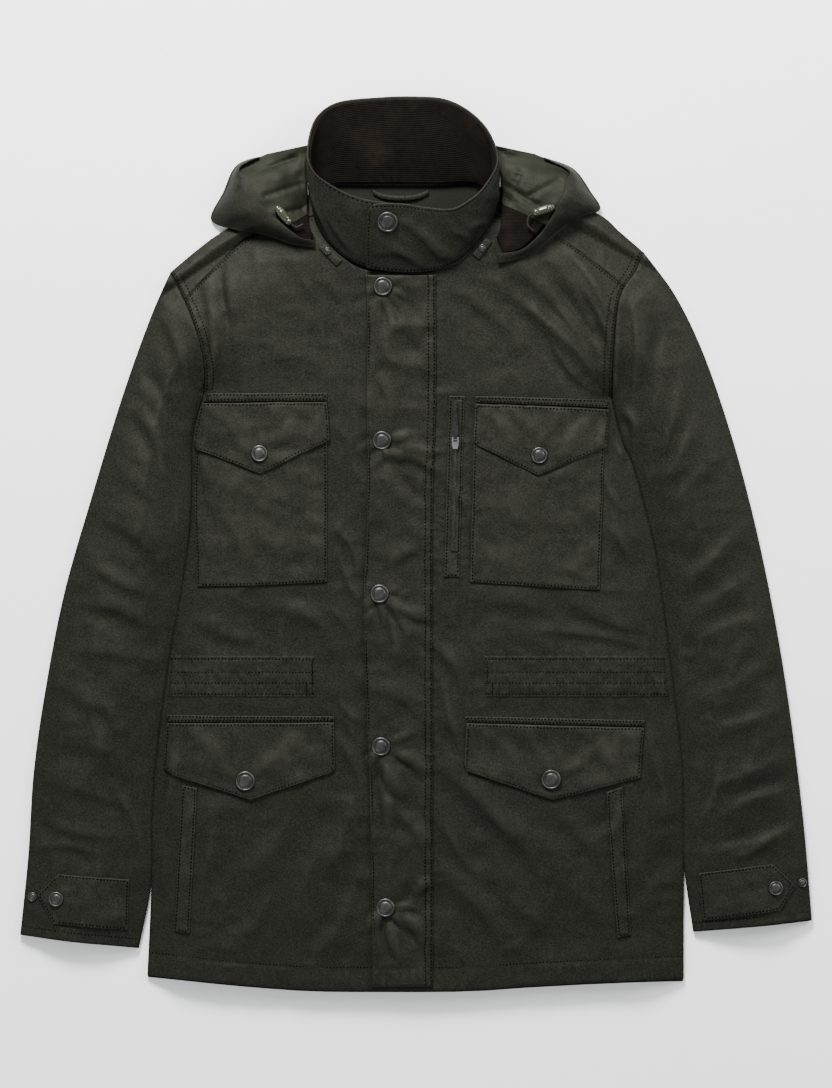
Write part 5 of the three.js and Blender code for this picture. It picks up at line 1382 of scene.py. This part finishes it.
def wing(name, rows, line, seed, creases):
    """A wing of the hood's shell: under the folds, round the outline and over as the brim."""
    at = np.linspace(0.02, len(rows) - 1.25, 76)
    row = along_rows(rows, at)
    col = lambda k: row[:, k:k + 1]
    share = np.linspace(0.02, 1, 26)[None]
    x = col(0) + (col(2) - col(0)) * share
    y = col(1) + (col(3) - col(1)) * share
    under = np.stack([x, y, ground(x, y, line)], -1)
    over = np.concatenate([np.linspace(0, 0.93, 16), [0.96, 0.985, 1.0]])[None]
    brim = np.stack([col(2) + (col(4) - col(2)) * over, col(3) + (col(5) - col(3)) * over,
                     brim_height(row, over, line)], -1)
    middle, radius = (under[:, -1] + brim[:, 0]) / 2, (brim[:, 0, 2] - under[:, -1, 2]) / 2
    way = np.stack([row[:, 2] - row[:, 0], row[:, 3] - row[:, 1]], -1)
    way /= np.maximum(np.linalg.norm(way, axis=1, keepdims=True), 1e-9)
    turn = np.radians([-60, -30, 0, 30, 60])
    fold = np.stack([np.column_stack([middle[:, :2] + way * (radius * math.cos(a) * 1.1)[:, None],
                                      middle[:, 2] + radius * math.sin(a)]) for a in turn], 1)
    strip = np.concatenate([under, fold, brim], 1)
    relief_of_wing = 0.6 * rumple(26, seed) + 0.35 * rumple(12, seed + 1) + 0.1 * rumple(5, seed + 2)
    for each in creases:
        crease(relief_of_wing, *each)
    shown = np.concatenate([np.zeros(26), np.linspace(0, 0.6, 5), np.linspace(0.6, 1, 19)])[None]
    shift = sample(relief_of_wing, strip[..., 0], strip[..., 1]) * shown
    away = np.cross(np.gradient(strip, axis=1), np.gradient(strip, axis=0))
    away /= np.maximum(np.linalg.norm(away, axis=-1, keepdims=True), 1e-9)
    if away[:, -6, 2].mean() < 0:
        away = -away
    outer = strip + away * np.clip(shift, -0.8, 1.8)[..., None]
    inner = outer - away * 1.1
    points, faces, kinds, _ = closed(outer, inner, 0.5)
    rubbed = np.clip(shift * 0.7 + 0.6 * np.exp(-((np.arange(50)[None] - 28) / 3.0) ** 2), 0, 1)
    shell = piece(name, points, faces, ["waxed", "lining"], kinds, ["hood_shell"],
                  spread_over(rubbed + 0 * shift, outer.shape))
    declare(outer)


wing("hood_wing_right_cloth", HOOD_RIGHT, shoulder_right, 401,
     [((-190, 322), (-150, 314), 5, 1.2, 0.1, 0.4), ((-182, 340), (-150, 322), 5, 1.0, -0.1, 0.4),
      ((-160, 308), (-124, 300), 5, 0.9, 0.1, 0.4), ((-176, 356), (-164, 336), 5, 1.0, 0.1, 0.4),
      ((-140, 312), (-116, 296), 4, 0.7, 0.1, 0.4)])
wing("hood_wing_left_cloth", HOOD_LEFT, shoulder_left, 411,
     [((170, 332), (136, 316), 5, 1.2, 0.1, 0.4), ((160, 350), (140, 330), 5, 1.0, -0.1, 0.4),
      ((150, 316), (118, 294), 5, 1.0, 0.1, 0.4), ((128, 300), (104, 284), 4, 0.8, 0.1, 0.4)])


def hood_band():
    """The flat band of the hood under the back of the collar."""
    us, vs = across_steps(218, 4), across_steps(26, 3)
    top, bottom = chain([(-120, 384), (-14, 396), (98, 384)]), chain([(-120, 364), (-14, 368), (98, 364)])
    flat = net(top, bottom, chain([(-120, 384), (-120, 364)]), chain([(98, 384), (98, 364)]), us, vs)
    border = from_border(flat)
    full = np.sqrt(1 - (1 - np.minimum(1, border / 1.2)) ** 2)
    z = 1.0 + 1.2 * full + 0.25 * sample(rumple(14, 421), flat[..., 0], flat[..., 1]) * np.minimum(1, border / 4)
    upper = np.dstack([flat, z])
    lower = np.dstack([flat, 0.05 + 0.9 * (1 - full)])
    points, faces, _, _ = closed(upper, lower, 0.2)
    shell = piece("hood_band_cloth", points, faces, ["waxed"], None, ["hood_shell"])
    declare(upper)


hood_band()


def wing_filling(name, rows, line, first, last, across, finish_name, seed, seams=()):
    """The padded folds inside a wing: from beside the collar to the opening's edge, and on under the brim."""
    at = np.linspace(first, last, max(24, int((last - first) * 15)))
    row = along_rows(rows, at)
    col = lambda k: row[:, k:k + 1]
    t = np.interp(np.linspace(0, 1, 44), np.linspace(0, 1, len(across)), across)[None]
    reach = np.minimum(t, 1)
    beyond = (t - reach) * 1.6
    x = col(0) + (col(4) - col(0)) * reach + (col(2) - col(4)) * beyond
    y = col(1) + (col(5) - col(1)) * reach + (col(3) - col(5)) * beyond
    base = ground(x, y, line) + WALL + HOOD_ROOM
    beside = np.maximum(base + 3, col(6) * 0.5)
    roof_in = beside + (col(6) - WALL - HOOD_ROOM - beside) * np.sin(math.pi / 2 * np.minimum(t, 1))
    low = ground(row[:, 2], row[:, 3], line)[:, None] + WALL + 0.8
    roof_out = low + (col(6) - low) * np.sin(math.pi / 2 * (1 - beyond)) - WALL - HOOD_ROOM
    roof = np.maximum(np.where(t < 1, roof_in, roof_out), base + 1.2)
    soft = 0.7 * rumple(22, seed) + 0.4 * rumple(9, seed + 1)
    for start, end in seams:
        seam_groove(soft, [start, end], 1.7, 3.0)
        puckers(soft, [start, end], seed + 7, 0.6, 9, 6)
    grid = np.stack([x, y, roof], -1)
    border = np.minimum(from_border(grid), 12)
    shift = np.clip(sample(soft, x, y), -1.8, 1.4) * np.minimum(1, border / 6)
    upper = np.stack([x, y, np.maximum(roof + shift, base + 0.8)], -1)
    lower = np.stack([x, y, base], -1)
    points, faces, _, _ = closed(upper, lower, 0.12)
    rubbed = np.clip(0.7 * np.maximum(shift, 0), 0, 1)
    flat_uv = np.stack([x, y], -1).reshape(-1, 2) if finish_name == "corduroy" else None
    shell = piece(name, points, faces, [finish_name], None, [name.replace("_quilt", "").replace("_corduroy", "")],
                  spread_over(rubbed, upper.shape),
                  None if flat_uv is None else spread_over(flat_uv, upper.shape))


OPEN, UNDER = (0, 0.31, 0.62, 0.92), (0, 0.3, 0.6, 0.9, 1.15, 1.35)
wing_filling("hood_facing_right_corduroy", HOOD_RIGHT, shoulder_right, 0.3, 1.96, OPEN, "corduroy", 431)
wing_filling("hood_lining_right_quilt", HOOD_RIGHT, shoulder_right, 2, 7, UNDER, "nylon", 441,
             [((-160, 362), (-118, 378)), ((-146, 340), (-112, 352)), ((-132, 322), (-110, 328))])
wing_filling("hood_facing_left_corduroy", HOOD_LEFT, shoulder_left, 0.3, 2.96, OPEN, "corduroy", 451)
wing_filling("hood_lining_left_quilt", HOOD_LEFT, shoulder_left, 3, 8, UNDER, "nylon", 461,
             [((103.9, 365.1), (83.3, 322.9)), ((86.2, 352.3), (119.6, 330.8)), ((140, 356), (112, 340))])


# Fittings
def turned(profile, sides, bend=None):
    """Points and faces of a form turned about Z: profile gives radius and height, and ends on the axis."""
    profile = np.array(profile, float)
    turn = np.arange(sides) / sides * 2 * math.pi
    rings = profile[1:-1]
    points = np.concatenate([[[0, 0, profile[0, 1]]],
                             np.stack([rings[:, :1] * np.cos(turn), rings[:, :1] * np.sin(turn),
                                       rings[:, 1:] + 0 * turn], -1).reshape(-1, 3),
                             [[0, 0, profile[-1, 1]]]])
    faces = []
    for k in range(sides):
        n = (k + 1) % sides
        faces.append((0, 1 + n, 1 + k))
        for ring in range(len(rings) - 1):
            a, b = 1 + ring * sides + k, 1 + ring * sides + n
            faces.append((a, b, b + sides, a + sides))
        last = 1 + (len(rings) - 1) * sides
        faces.append((last + k, last + n, len(points) - 1))
    return points, faces


def frame_at(at, normal):
    """Moves points from about the origin to a place on the cloth, with Z along its normal."""
    normal = np.asarray(normal, float) / np.linalg.norm(normal)
    across = np.cross([0, 1, 0], normal)
    across /= np.linalg.norm(across)
    along = np.cross(normal, across)
    return lambda points: np.asarray(at) + points @ np.stack([across, along, normal])


def merged(parts):
    """Several forms as one: their points, faces and each face's place in the finishes."""
    points, faces, kinds, start = [], [], [], 0
    for p, f, kind in parts:
        points.append(np.asarray(p))
        faces += [tuple(int(v) + start for v in face) for face in f]
        kinds += [kind] * len(f)
        start += len(p)
    return np.vstack(points), faces, kinds


def mesh_piece(name, parts, finishes, nodes=(), worn=None, body="jacket", smooth_to=40):
    """A fitting of several forms, shaded smooth up to an angle."""
    points, faces, kinds = merged(parts)
    mesh = bpy.data.meshes.new(name)
    mesh.from_pydata((points * MM).tolist(), [], faces)
    for each in finishes:
        mesh.materials.append(finish[each])
    mesh.polygons.foreach_set("material_index", np.asarray(kinds, np.int32))
    mesh.shade_smooth()
    shown = mesh.attributes.new("worn", "FLOAT", "POINT")
    shown.data.foreach_set("value", np.zeros(len(points), np.float32) if worn is None
                           else np.clip(worn, 0, 1).astype(np.float32))
    mesh.set_sharp_from_angle(angle=math.radians(smooth_to))
    mesh.update()
    made = bpy.data.objects.new(name, mesh)
    bpy.context.scene.collection.objects.link(made)
    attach(made, body)
    if nodes:
        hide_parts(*nodes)
    return made


def press_stud(name, at, normal, radius, tall):
    """A stud's cap: a flange, a raised rim, a sunk ring of small dots and a flat middle."""
    r, h = radius, tall
    profile = [(0, 0), (r * 0.9, 0), (r * 0.985, h * 0.08), (r, h * 0.28), (r * 0.985, h * 0.5), (r * 0.95, h * 0.66),
               (r * 0.9, h * 0.76), (r * 0.85, h * 0.78), (r * 0.81, h * 0.72), (r * 0.79, h * 0.6),
               (r * 0.72, h * 0.58), (r * 0.62, h * 0.6), (r * 0.58, h * 0.7), (r * 0.54, h * 0.8),
               (r * 0.46, h * 0.86), (r * 0.24, h * 0.9), (0, h * 0.91)]
    place_it = frame_at(at, normal)
    body, faces = turned(profile, 40)
    parts = [(place_it(body), faces, 0)]
    worn = [np.clip(1 - np.abs(np.hypot(body[:, 0], body[:, 1]) - r * 0.87) / (r * 0.08), 0, 1)
            + 0.5 * (np.hypot(body[:, 0], body[:, 1]) < r * 0.5)]
    dots = 22 if radius > 8 else 16
    for k in range(dots if radius > 5 else 0):
        turn = 2 * math.pi * k / dots
        dot, dot_faces = turned([(0, -0.2), (r * 0.048, -0.1), (r * 0.042, h * 0.07), (0, h * 0.1)], 6)
        dot[:, 0] *= 1.0 + 0.7 * ((k * 7) % 3 == 0)
        spun = dot @ np.array([[math.cos(turn), math.sin(turn), 0], [-math.sin(turn), math.cos(turn), 0], [0, 0, 1]])
        spun += (r * 0.685 * math.cos(turn), r * 0.685 * math.sin(turn), h * 0.6)
        parts.append((place_it(spun), dot_faces, 0))
        worn.append(np.full(len(dot), 0.5))
    mesh_piece(name + "_cap", parts, ["gunmetal"], [name], np.concatenate(worn))


def stud_on_cloth(name, xy, off, radius=9.3, tall=2.6):
    at, normal = lifted(np.array([xy], float), np.array([off]))
    press_stud(name, at[0], normal[0] * (0.5, 0.5, 1), radius, tall)


for number, stud_at in enumerate(PLACKET_STUDS):
    stud_on_cloth(f"snap_placket_{number + 1}", stud_at, 2 * LAY + PLACKET)
for stud_name, stud_at, off_cloth, stud_r, stud_h in [
        ("snap_chest_right", (-152, 87.7), 3 * LAY + 2 * PATCH, 8.2, 2.6),
        ("snap_chest_left", (121.5, 86.3), 3 * LAY + 2 * PATCH, 8.2, 2.6),
        ("snap_lower_right", (-166, -232.2), 2 * LAY + 2, 9.8, 2.6),
        ("snap_lower_left", (133.6, -230.6), 2 * LAY + 2, 9.8, 2.6),
        ("snap_cuff_right", (-351, -348.4), 2 * LAY + PATCH, 7.4, 2.6),
        ("snap_cuff_left", (352.8, -337.6), 2 * LAY + PATCH, 7.1, 2.6),
        ("stud_cuff_right", (-375, -346.4), LAY, 4.6, 1.8), ("stud_cuff_left", (379.6, -332.7), LAY, 4.4, 1.8),
        ("stud_hood_right", (-85.5, 286), 2 * LAY + PATCH, 3.6, 1.6),
        ("stud_hood_left", (66, 289), 2 * LAY + PATCH, 3.6, 1.6)]:
    stud_on_cloth(stud_name, stud_at, off_cloth, stud_r, stud_h)


def collar_stud():
    patch = collar_face(np.array([18.33, 18.38, 18.43]), np.array([0.74, 0.76, 0.78])[:, None] * np.ones((1, 3)))
    outward = -np.cross(patch[1, 2] - patch[1, 0], patch[2, 1] - patch[0, 1])
    outward /= np.linalg.norm(outward)
    press_stud("snap_collar", patch[1, 1] + outward * 0.9, outward, 10.3, 2.6)


collar_stud()


def tube_along(route, radius, sides=12, count=48, ripple=0.0):
    """A round cord along a route, with the ripple of its braid, its ends closed."""
    line = curve(route)(steps(count))
    way = np.gradient(line, axis=0)
    way /= np.linalg.norm(way, axis=1, keepdims=True)
    side = np.cross(way, [0, 0, 1.0])
    side /= np.linalg.norm(side, axis=1, keepdims=True)
    up = np.cross(side, way)
    turn = np.arange(sides) / sides * 2 * math.pi
    k = np.arange(count + 1)[:, None]
    braid = 1 + ripple * np.sin(k * 1.6 + turn * 3) + ripple * np.sin(k * 1.6 - turn * 3)
    rings = (line[:, None] + side[:, None] * (np.cos(turn) * radius * braid)[..., None]
             + up[:, None] * (np.sin(turn) * radius * braid)[..., None])
    points = np.vstack([rings.reshape(-1, 3), line[:1], line[-1:]])
    faces = []
    for ring in range(count):
        for s in range(sides):
            a, b = ring * sides + s, ring * sides + (s + 1) % sides
            faces.append((a, a + sides, b + sides, b))
    first, last = len(points) - 2, len(points) - 1
    for s in range(sides):
        n = (s + 1) % sides
        faces.append((first, s, n))
        faces.append((last, count * sides + n, count * sides + s))
    return points, faces


def cord(name, route):
    mesh_piece(name + "_braid", [(*tube_along(route, 1.2, 12, 40, 0.07), 0)], ["trim"], [name])


cord("hood_cord_right", [(-120.6, 311.6, 30.7), (-116, 309, 30.5), (-109, 312, 29.8)])
cord("hood_cord_left", [(114.3, 321.8, 31.6), (110.5, 318, 31.5), (110.5, 310.5, 31.2), (115.5, 305.5, 30.2)])


def cord_stop(name, at, turn):
    """A cord lock: a barrel with grip rings, a sprung plunger in one end and the cord's hole through it."""
    profile = [(0, -11), (2.2, -11), (2.6, -10.6), (3.3, -9.6), (4.0, -8.1), (4.0, -7.0), (3.75, -6.7), (3.75, -6.0),
               (4.1, -5.6), (4.2, -3.0), (4.25, 0), (4.2, 3.0), (4.1, 5.4), (3.75, 5.8), (3.75, 6.4), (4.0, 6.8),
               (4.0, 7.6), (3.4, 8.4), (2.7, 8.7), (2.6, 9.0), (2.6, 10.4), (2.2, 10.95), (0, 11)]
    body, faces = turned(profile, 32)
    lie_down = np.array([[1, 0, 0], [0, 0, -1], [0, 1, 0]], float)
    spin = np.array([[math.cos(turn), math.sin(turn), 0], [-math.sin(turn), math.cos(turn), 0], [0, 0, 1]])
    set_down = lambda p: p @ lie_down @ spin + at
    eye, eye_faces = turned([(0, 3.9), (1.5, 3.95), (1.7, 4.35), (2.1, 4.3), (2.2, 3.7), (0, 3.5)], 20)
    eye = eye @ np.array([[1, 0, 0], [0, 0, -1], [0, 1, 0]], float)
    worn = np.concatenate([np.clip(np.abs(np.abs(body[:, 2]) - 8) < 0.5, 0, 1) * 0.7, np.full(len(eye), 0.3)])
    mesh_piece(name + "_barrel", [(set_down(body), faces, 0), (set_down(eye @ np.diag([1, 1, 1])), eye_faces, 0)],
               ["plastic"], [name], worn)


cord_stop("cord_lock_right", (-128.4, 320.4, 30.7), math.radians(40))
cord_stop("cord_lock_left", (125.5, 325.5, 31.6), math.radians(-72))


def hanger_loop():
    """The hanging loop: a folded strip whose middle stands a little off the lining."""
    line = curve([(-41, 347), (-30, 342.5), (-14, 341), (2, 342.5), (13, 347)])
    share = across_steps(58, 1.6)
    run = line(share)
    across = across_steps(4.5)
    x = run[None, :, 0] + 0 * across[:, None]
    y = run[None, :, 1] - 4.5 * across[:, None]
    rise = 1.2 * np.sin(math.pi * share)[None] + 0 * across[:, None]
    middle = np.sin(math.pi * across)[:, None]
    upper = np.stack([x, y, 3.4 + rise + 0.5 * middle + 0.12 * np.sin(share * 60)[None]], -1)
    lower = np.stack([x, y, 2.5 + rise + 0 * middle], -1)
    points, faces, _, _ = closed(upper, lower, 0.3)
    shell = piece("hanger_loop_strip", points, faces, ["trim"], None, ["hanger_loop"])
    declare(upper)


hanger_loop()

ZIP_X = 39.4
HINGE_Y = 101


def zip_line(y):
    return ZIP_X + (y - 98) * 0.021


def zip_teeth():
    """The closed zip below its slider: two rows of teeth that mesh, on raised cords."""
    parts, worn = [], []
    edge = [(-0.5, -1.0), (0.5, -1.0), (0.72, 0.35), (0.45, 0.95), (-0.45, 0.95), (-0.72, 0.35)]
    count = int((94 - 4) / 0.78)
    for k in range(count):
        y = 94 - 0.78 * k
        side = 1 if k % 2 else -1
        at, normal = lifted(np.array([(zip_line(y), y)]), np.array([LAY + 2 + SEAM]))
        width = 1.5
        low, high = -0.25 * side, width * side
        points = []
        for x in (low, high):
            for a, b in edge:
                taper = 0.8 if x == low else 1.0
                points.append((x, a * 0.5 * taper, 0.42 * b * taper + 0.35))
        points = np.array(points) + at[0]
        wall = [(i, (i + 1) % 6, 6 + (i + 1) % 6, 6 + i) for i in range(6)]
        faces = np.array([f if side > 0 else f[::-1] for f in wall])
        ends = [tuple(range(5, -1, -1)), tuple(range(6, 12))]
        ends = ends if side > 0 else [e[::-1] for e in ends]
        parts.append((points, [tuple(f) for f in faces] + ends, 0))
        worn.append(np.clip(np.tile([0, 0, 0.4, 1, 1, 0.4], 2), 0, 1))
    mesh_piece("zip_teeth", parts, ["teeth"], (), np.concatenate(worn), smooth_to=50)


zip_teeth()


def dressed_metal(node_name, width, finish_name):
    """A CAD fitting that stays as it is, with its edges broken and the metal finish given to it."""
    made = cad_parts[node_name]
    made.data.materials.clear()
    made.data.materials.append(finish[finish_name])
    bevel = made.modifiers.new("broken edges", "BEVEL")
    bevel.width = width * MM
    bevel.segments = 3
    bevel.limit_method = "ANGLE"
    made.modifiers.new("even shading", "WEIGHTED_NORMAL")


dressed_metal("zip_slider", 0.35, "bright")
dressed_metal("zip_pull", 0.25, "pull")

# Stitches, as beads of thread sunk a little in the cloth
stitches = {}


def stitch(region, places, off, normals=None):
    stitches.setdefault(region, []).append((places, off, normals))


def stitch_row(region, line, off, under=None, pitch=3.3):
    """A row of stitches over the cloth along a line of x and y, at a height off it. under names the
    sewn-on piece that it runs on."""
    dense = np.array(line, float)
    run = paced(dense)
    length = np.linalg.norm(np.diff(dense, axis=0), axis=1).sum()
    count = max(2, int(length / pitch))
    draw = np.random.default_rng(int(abs(dense[0, 0] * 7 + dense[0, 1] * 3)) + count)
    at = (np.arange(count) + 0.5 + draw.uniform(-0.07, 0.07, count)) * pitch / length
    half = 0.29 * pitch / length
    sway = draw.normal(0, 0.12, (count, 2))
    start, end = run(np.clip(at - half, 0, 1)) + sway, run(np.clip(at + half, 0, 1)) + sway
    own = OWN.get(under)
    rise = lambda xy: off + (0 if own is None else np.clip(0.58 * sample(own, xy[:, 0], xy[:, 1]), -0.3, 2)) + 0 * xy[:, 0]
    a, _ = lifted(start, rise(start))
    b, normal = lifted(end, rise(end))
    stitch(region, np.stack([a, b], 1), 0.12, normal)


def beads(name, rows):
    """All the stitches of one region as one form, of eight-cornered beads."""
    ends = np.concatenate([r[0] for r in rows])
    normal = np.concatenate([r[2] for r in rows])
    a, b = ends[:, 0], ends[:, 1]
    way = b - a
    way /= np.maximum(np.linalg.norm(way, axis=1, keepdims=True), 1e-9)
    side = np.cross(way, normal)
    side /= np.maximum(np.linalg.norm(side, axis=1, keepdims=True), 1e-9)
    wide, tall = 0.62, 0.36
    ring = lambda at, s: [at + side * wide * s, at + normal * tall * s, at - side * wide * s, at - normal * tall * s]
    near, far = a * 0.75 + b * 0.25 + normal * 0.14, a * 0.25 + b * 0.75 + normal * 0.14
    points = np.stack([a - normal * 0.15, *ring(near, 1), *ring(far, 1), b - normal * 0.15], 1)
    pattern = [(0, 2, 1), (0, 3, 2), (0, 4, 3), (0, 1, 4), (9, 5, 6), (9, 6, 7), (9, 7, 8), (9, 8, 5)]
    quads = [(1, 2, 6, 5), (2, 3, 7, 6), (3, 4, 8, 7), (4, 1, 5, 8)]
    faces = [tuple(v + 10 * k for v in face) for k in range(len(a)) for face in pattern + quads]
    flat = points.reshape(-1, 3)
    mesh = bpy.data.meshes.new(name)
    mesh.from_pydata((flat * MM).tolist(), [], faces)
    mesh.materials.append(finish["thread"])
    mesh.shade_smooth()
    made = bpy.data.objects.new(name, mesh)
    bpy.context.scene.collection.objects.link(made)
    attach(made, "jacket")


def along_edge(edge, inset):
    """An edge's points, moved to its left by the inset."""
    p = np.array(edge, float)
    way = np.gradient(p, axis=0)
    way /= np.maximum(np.linalg.norm(way, axis=1, keepdims=True), 1e-9)
    return p + np.stack([-way[:, 1], way[:, 0]], -1) * inset


def around(region, corners, inset, off, under, skip=0):
    """Rows of stitches inside a clockwise outline, leaving out its first sides."""
    p = np.array(corners, float)
    count = len(p)
    ways = np.roll(p, -1, 0) - p
    ways /= np.linalg.norm(ways, axis=1, keepdims=True)
    inward = np.stack([ways[:, 1], -ways[:, 0]], -1)
    points = []
    for k in range(count):
        a, b = inward[k - 1], inward[k]
        corner = (a + b) / max(1 + a @ b, 0.3)
        points.append(p[k] + corner * inset)
    for k in range(skip, count):
        stitch_row(region, np.array([points[k], points[(k + 1) % count]]), off, under)


def sew():
    on_patch = LAY + PATCH
    on_flap = ON_POCKET + PATCH
    around("pockets", [(-208, 133), (-86, 137), (-86, -38), (-159, -41.6), (-213, -42.6), (-215.5, 40), (-214, 103)],
           2.0, on_patch, "chest_pocket_right", 1)
    around("pockets", [(58, 131), (186, 131), (181, -45.6), (168, -45.5), (53.5, -38)],
           2.0, on_patch, "chest_pocket_left", 1)
    around("flaps", [(-207, 137), (-86, 138.5), (-84.3, 117), (-83.5, 101), (-151, 68), (-211.5, 91.5), (-215.5, 98),
                     (-213, 117)], 2.0, on_flap, "chest_flap_right")
    around("flaps", [(59, 137), (121, 134.5), (189, 131.5), (188, 116), (186, 94), (120.5, 66), (61, 96), (57, 101)],
           2.0, on_flap, "chest_flap_left")
    around("bands", [(-202, 147), (-86, 147.5), (-86, 139.4), (-207, 138.4)], 1.8, OVER_POCKET + PATCH,
           "chest_band_right")
    around("bands", [(59, 144.6), (189, 140.8), (190, 132.6), (59, 137.9)], 1.8, OVER_POCKET + PATCH,
           "chest_band_left")
    around("bands", [(-243, -168), (-79, -169), (-79, -174.3), (-243, -175.2)], 1.6, on_patch, "lower_band_right")
    around("bands", [(48, -169), (225, -173), (224.4, -179.6), (50, -174.9)], 1.6, on_patch, "lower_band_left")
    around("lower flaps", [(-243, -175.9), (-160, -175.5), (-79, -174.9), (-78, -221), (-83.3, -224.9),
                           (-161, -251.4), (-235, -227.4), (-246, -219.5)], 2.2, LAY + 2.0, "lower_flap_right")
    around("lower flaps", [(50, -175.5), (135, -178), (224.4, -180.3), (222, -206), (220.5, -229.8), (135, -251.4),
                           (51, -223.4), (48, -217)], 2.2, LAY + 2.0, "lower_flap_left")
    around("welts", [(-228, -236.7), (-213, -239.6), (-220.5, -382.7), (-236, -379.8)], 1.9, on_patch, "welt_right")
    around("welts", [(187, -243.5), (203, -237.7), (211.7, -383.7), (198, -386.6)], 1.9, on_patch, "welt_left")
    around("cuff tabs", [(-350, -324), (-280, -329), (-282, -379), (-354, -373), (-370, -344.5)], 2.0, on_patch,
           "cuff_tab_right")
    around("cuff tabs", [(278, -323), (350, -314), (373, -335.5), (357, -360), (283, -370)], 2.0, on_patch,
           "cuff_tab_left")
    around("zip panel", [(33.3, 144.6), (49, 144.6), (43.1, -32.8), (28.4, -32.8)], 1.8, LAY + 1, "zip_panel")
    for side in ("right", "left"):
        for row in TUNNEL_ROWS[side]:
            stitch_row("tunnels", row, 0.75, "tunnel_" + side)
    for x, low, high in ((-100.5, -148, -113), (-106, -148, -136), (70.5, -148, -113), (76, -148, -136)):
        stitch_row("bar tacks", [(x, low), (x, high)], 0.85, None, 1.7)
    free_line, sewn_line = curve(PLACKET_FREE)(steps(120)), curve(PLACKET_SEWN)(steps(120))
    stitch_row("storm flap", free_line + (2.4, 0), LAY + PLACKET + 0.2, "placket")
    stitch_row("storm flap", sewn_line - (1.8, 0), LAY + PLACKET, "placket")
    stitch_row("storm flap", sewn_line - (7.6, 0), LAY + PLACKET + 0.1, "placket")
    for hand, armhole, down, seam in ((1, armhole_right, SEAM_DOWN_RIGHT, forward_seam_right),
                                      (-1, armhole_left, SEAM_DOWN_LEFT, forward_seam_left)):
        stitch_row("seams", curve(armhole)(steps(60)) + (2.6 * hand, 0), 0.0)
        stitch_row("seams", curve(armhole)(steps(60)) + (8.4 * hand, 0), 0.0)
        stitch_row("seams", forward_seam(armhole, down, seam)(steps(40)) - (0, 2.6), 0.0)
    for hem in (hem_right, hem_left):
        stitch_row("hem", hem_row(hem, 22), 0.0)
    for cuff in (cuff_right, cuff_left):
        stitch_row("hem", cuff_row(cuff, 9), 0.0)
    for region, rows in stitches.items():
        beads("stitches_" + region.replace(" ", "_"), rows)


sew()


def collar_stitches():
    """The collar's rows: near its top edge, its foot and its free end."""
    last = (len(COLLAR) - 1) * 1.0
    made = collar_relief()

    def on_collar(rows, ups):
        patch = np.stack([collar_face(rows + d, ups[None])[0] for d in (-0.02, 0.02)])
        face = collar_face(rows, ups[None])[0]
        above = collar_face(rows, np.clip(ups + 0.02, 0, 1)[None])[0]
        outward = -np.cross(patch[1] - patch[0], above - face)
        outward /= np.maximum(np.linalg.norm(outward, axis=1, keepdims=True), 1e-9)
        shift = sample(made, ROW_LONG * rows - 260, STAND_TALL * ups - 32)
        return face + outward * (np.clip(shift * 0.4, -0.7, 2.2) - 0.2)[:, None], outward

    count = int(last * ROW_LONG / 3.3)
    rows = (np.arange(count) + 0.5) / count * (last - 0.2) + 0.1
    half = 0.34 * 3.3 / ROW_LONG
    for tall in (2.3, STAND_TALL - 2.6):
        ups = np.full(count, tall / STAND_TALL)
        a, _ = on_collar(rows - half, ups)
        b, outward = on_collar(rows + half, ups)
        stitch("collar", np.stack([a, b], 1), 0.1, outward)
    count = 16
    ups = (np.arange(count) + 0.5) / count * 0.86 + 0.05
    rows = np.full(count, last - 2.3 / ROW_LONG)
    a, _ = on_collar(rows, ups - 0.017)
    b, outward = on_collar(rows, ups + 0.017)
    stitch("collar", np.stack([a, b], 1), 0.1, outward)
    beads("stitches_collar", stitches["collar"])


collar_stitches()


# Floor, light and sky
def area_light(name, at, aim, wide, power, colour=(1, 1, 1)):
    lamp = bpy.data.objects.new(name, bpy.data.lights.new(name, "AREA"))
    lamp.data.shape = "DISK"
    lamp.data.size = wide
    lamp.data.energy = power
    lamp.data.color = colour
    lamp.location = at
    lamp.rotation_euler = (Vector(aim) - Vector(at)).to_track_quat("-Z", "Y").to_euler()
    bpy.context.scene.collection.objects.link(lamp)


def floor():
    made, tree, shader = material("paper_floor", Specular_IOR_Level=0.2)
    mask = use(tree, "mottle", scale=3.0)["Mask"]
    tree.links.new(blended(tree, mask, (0.93, 0.93, 0.93), (0.95, 0.95, 0.95)), shader.inputs["Base Color"])
    tree.links.new(ranged(tree, mask, 0.75, 0.85), shader.inputs["Roughness"])
    bumped(tree, shader, [(use(tree, "grain", scale=300.0)["Height"], 0.0001, 0.1)])
    mesh = bpy.data.meshes.new("paper_floor")
    mesh.from_pydata([(-4, -4, -0.0006), (4, -4, -0.0006), (4, 4, -0.0006), (-4, 4, -0.0006)], [], [(0, 1, 2, 3)])
    mesh.materials.append(made)
    sheet = bpy.data.objects.new("paper_floor", mesh)
    bpy.context.scene.collection.objects.link(sheet)
    sheet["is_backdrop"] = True


def light_the_set():
    area_light("key", (-0.45, 2.0, 1.45), (0, 0.15, 0), 0.9, 205)
    area_light("fill", (1.8, 0.9, 1.3), (0, 0, 0), 1.2, 44)
    area_light("low", (-1.4, -1.6, 1.5), (0, 0, 0), 1.3, 20)
    world = bpy.data.worlds.new("studio")
    world.use_nodes = True
    world.node_tree.nodes["Background"].inputs["Color"].default_value = (0.95, 0.97, 1.0, 1)
    world.node_tree.nodes["Background"].inputs["Strength"].default_value = 0.68
    bpy.context.scene.world = world


floor()
light_the_set()

{"cad": [list(corner) for corner in cad_box], "dressed": [list(corner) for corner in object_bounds()]}
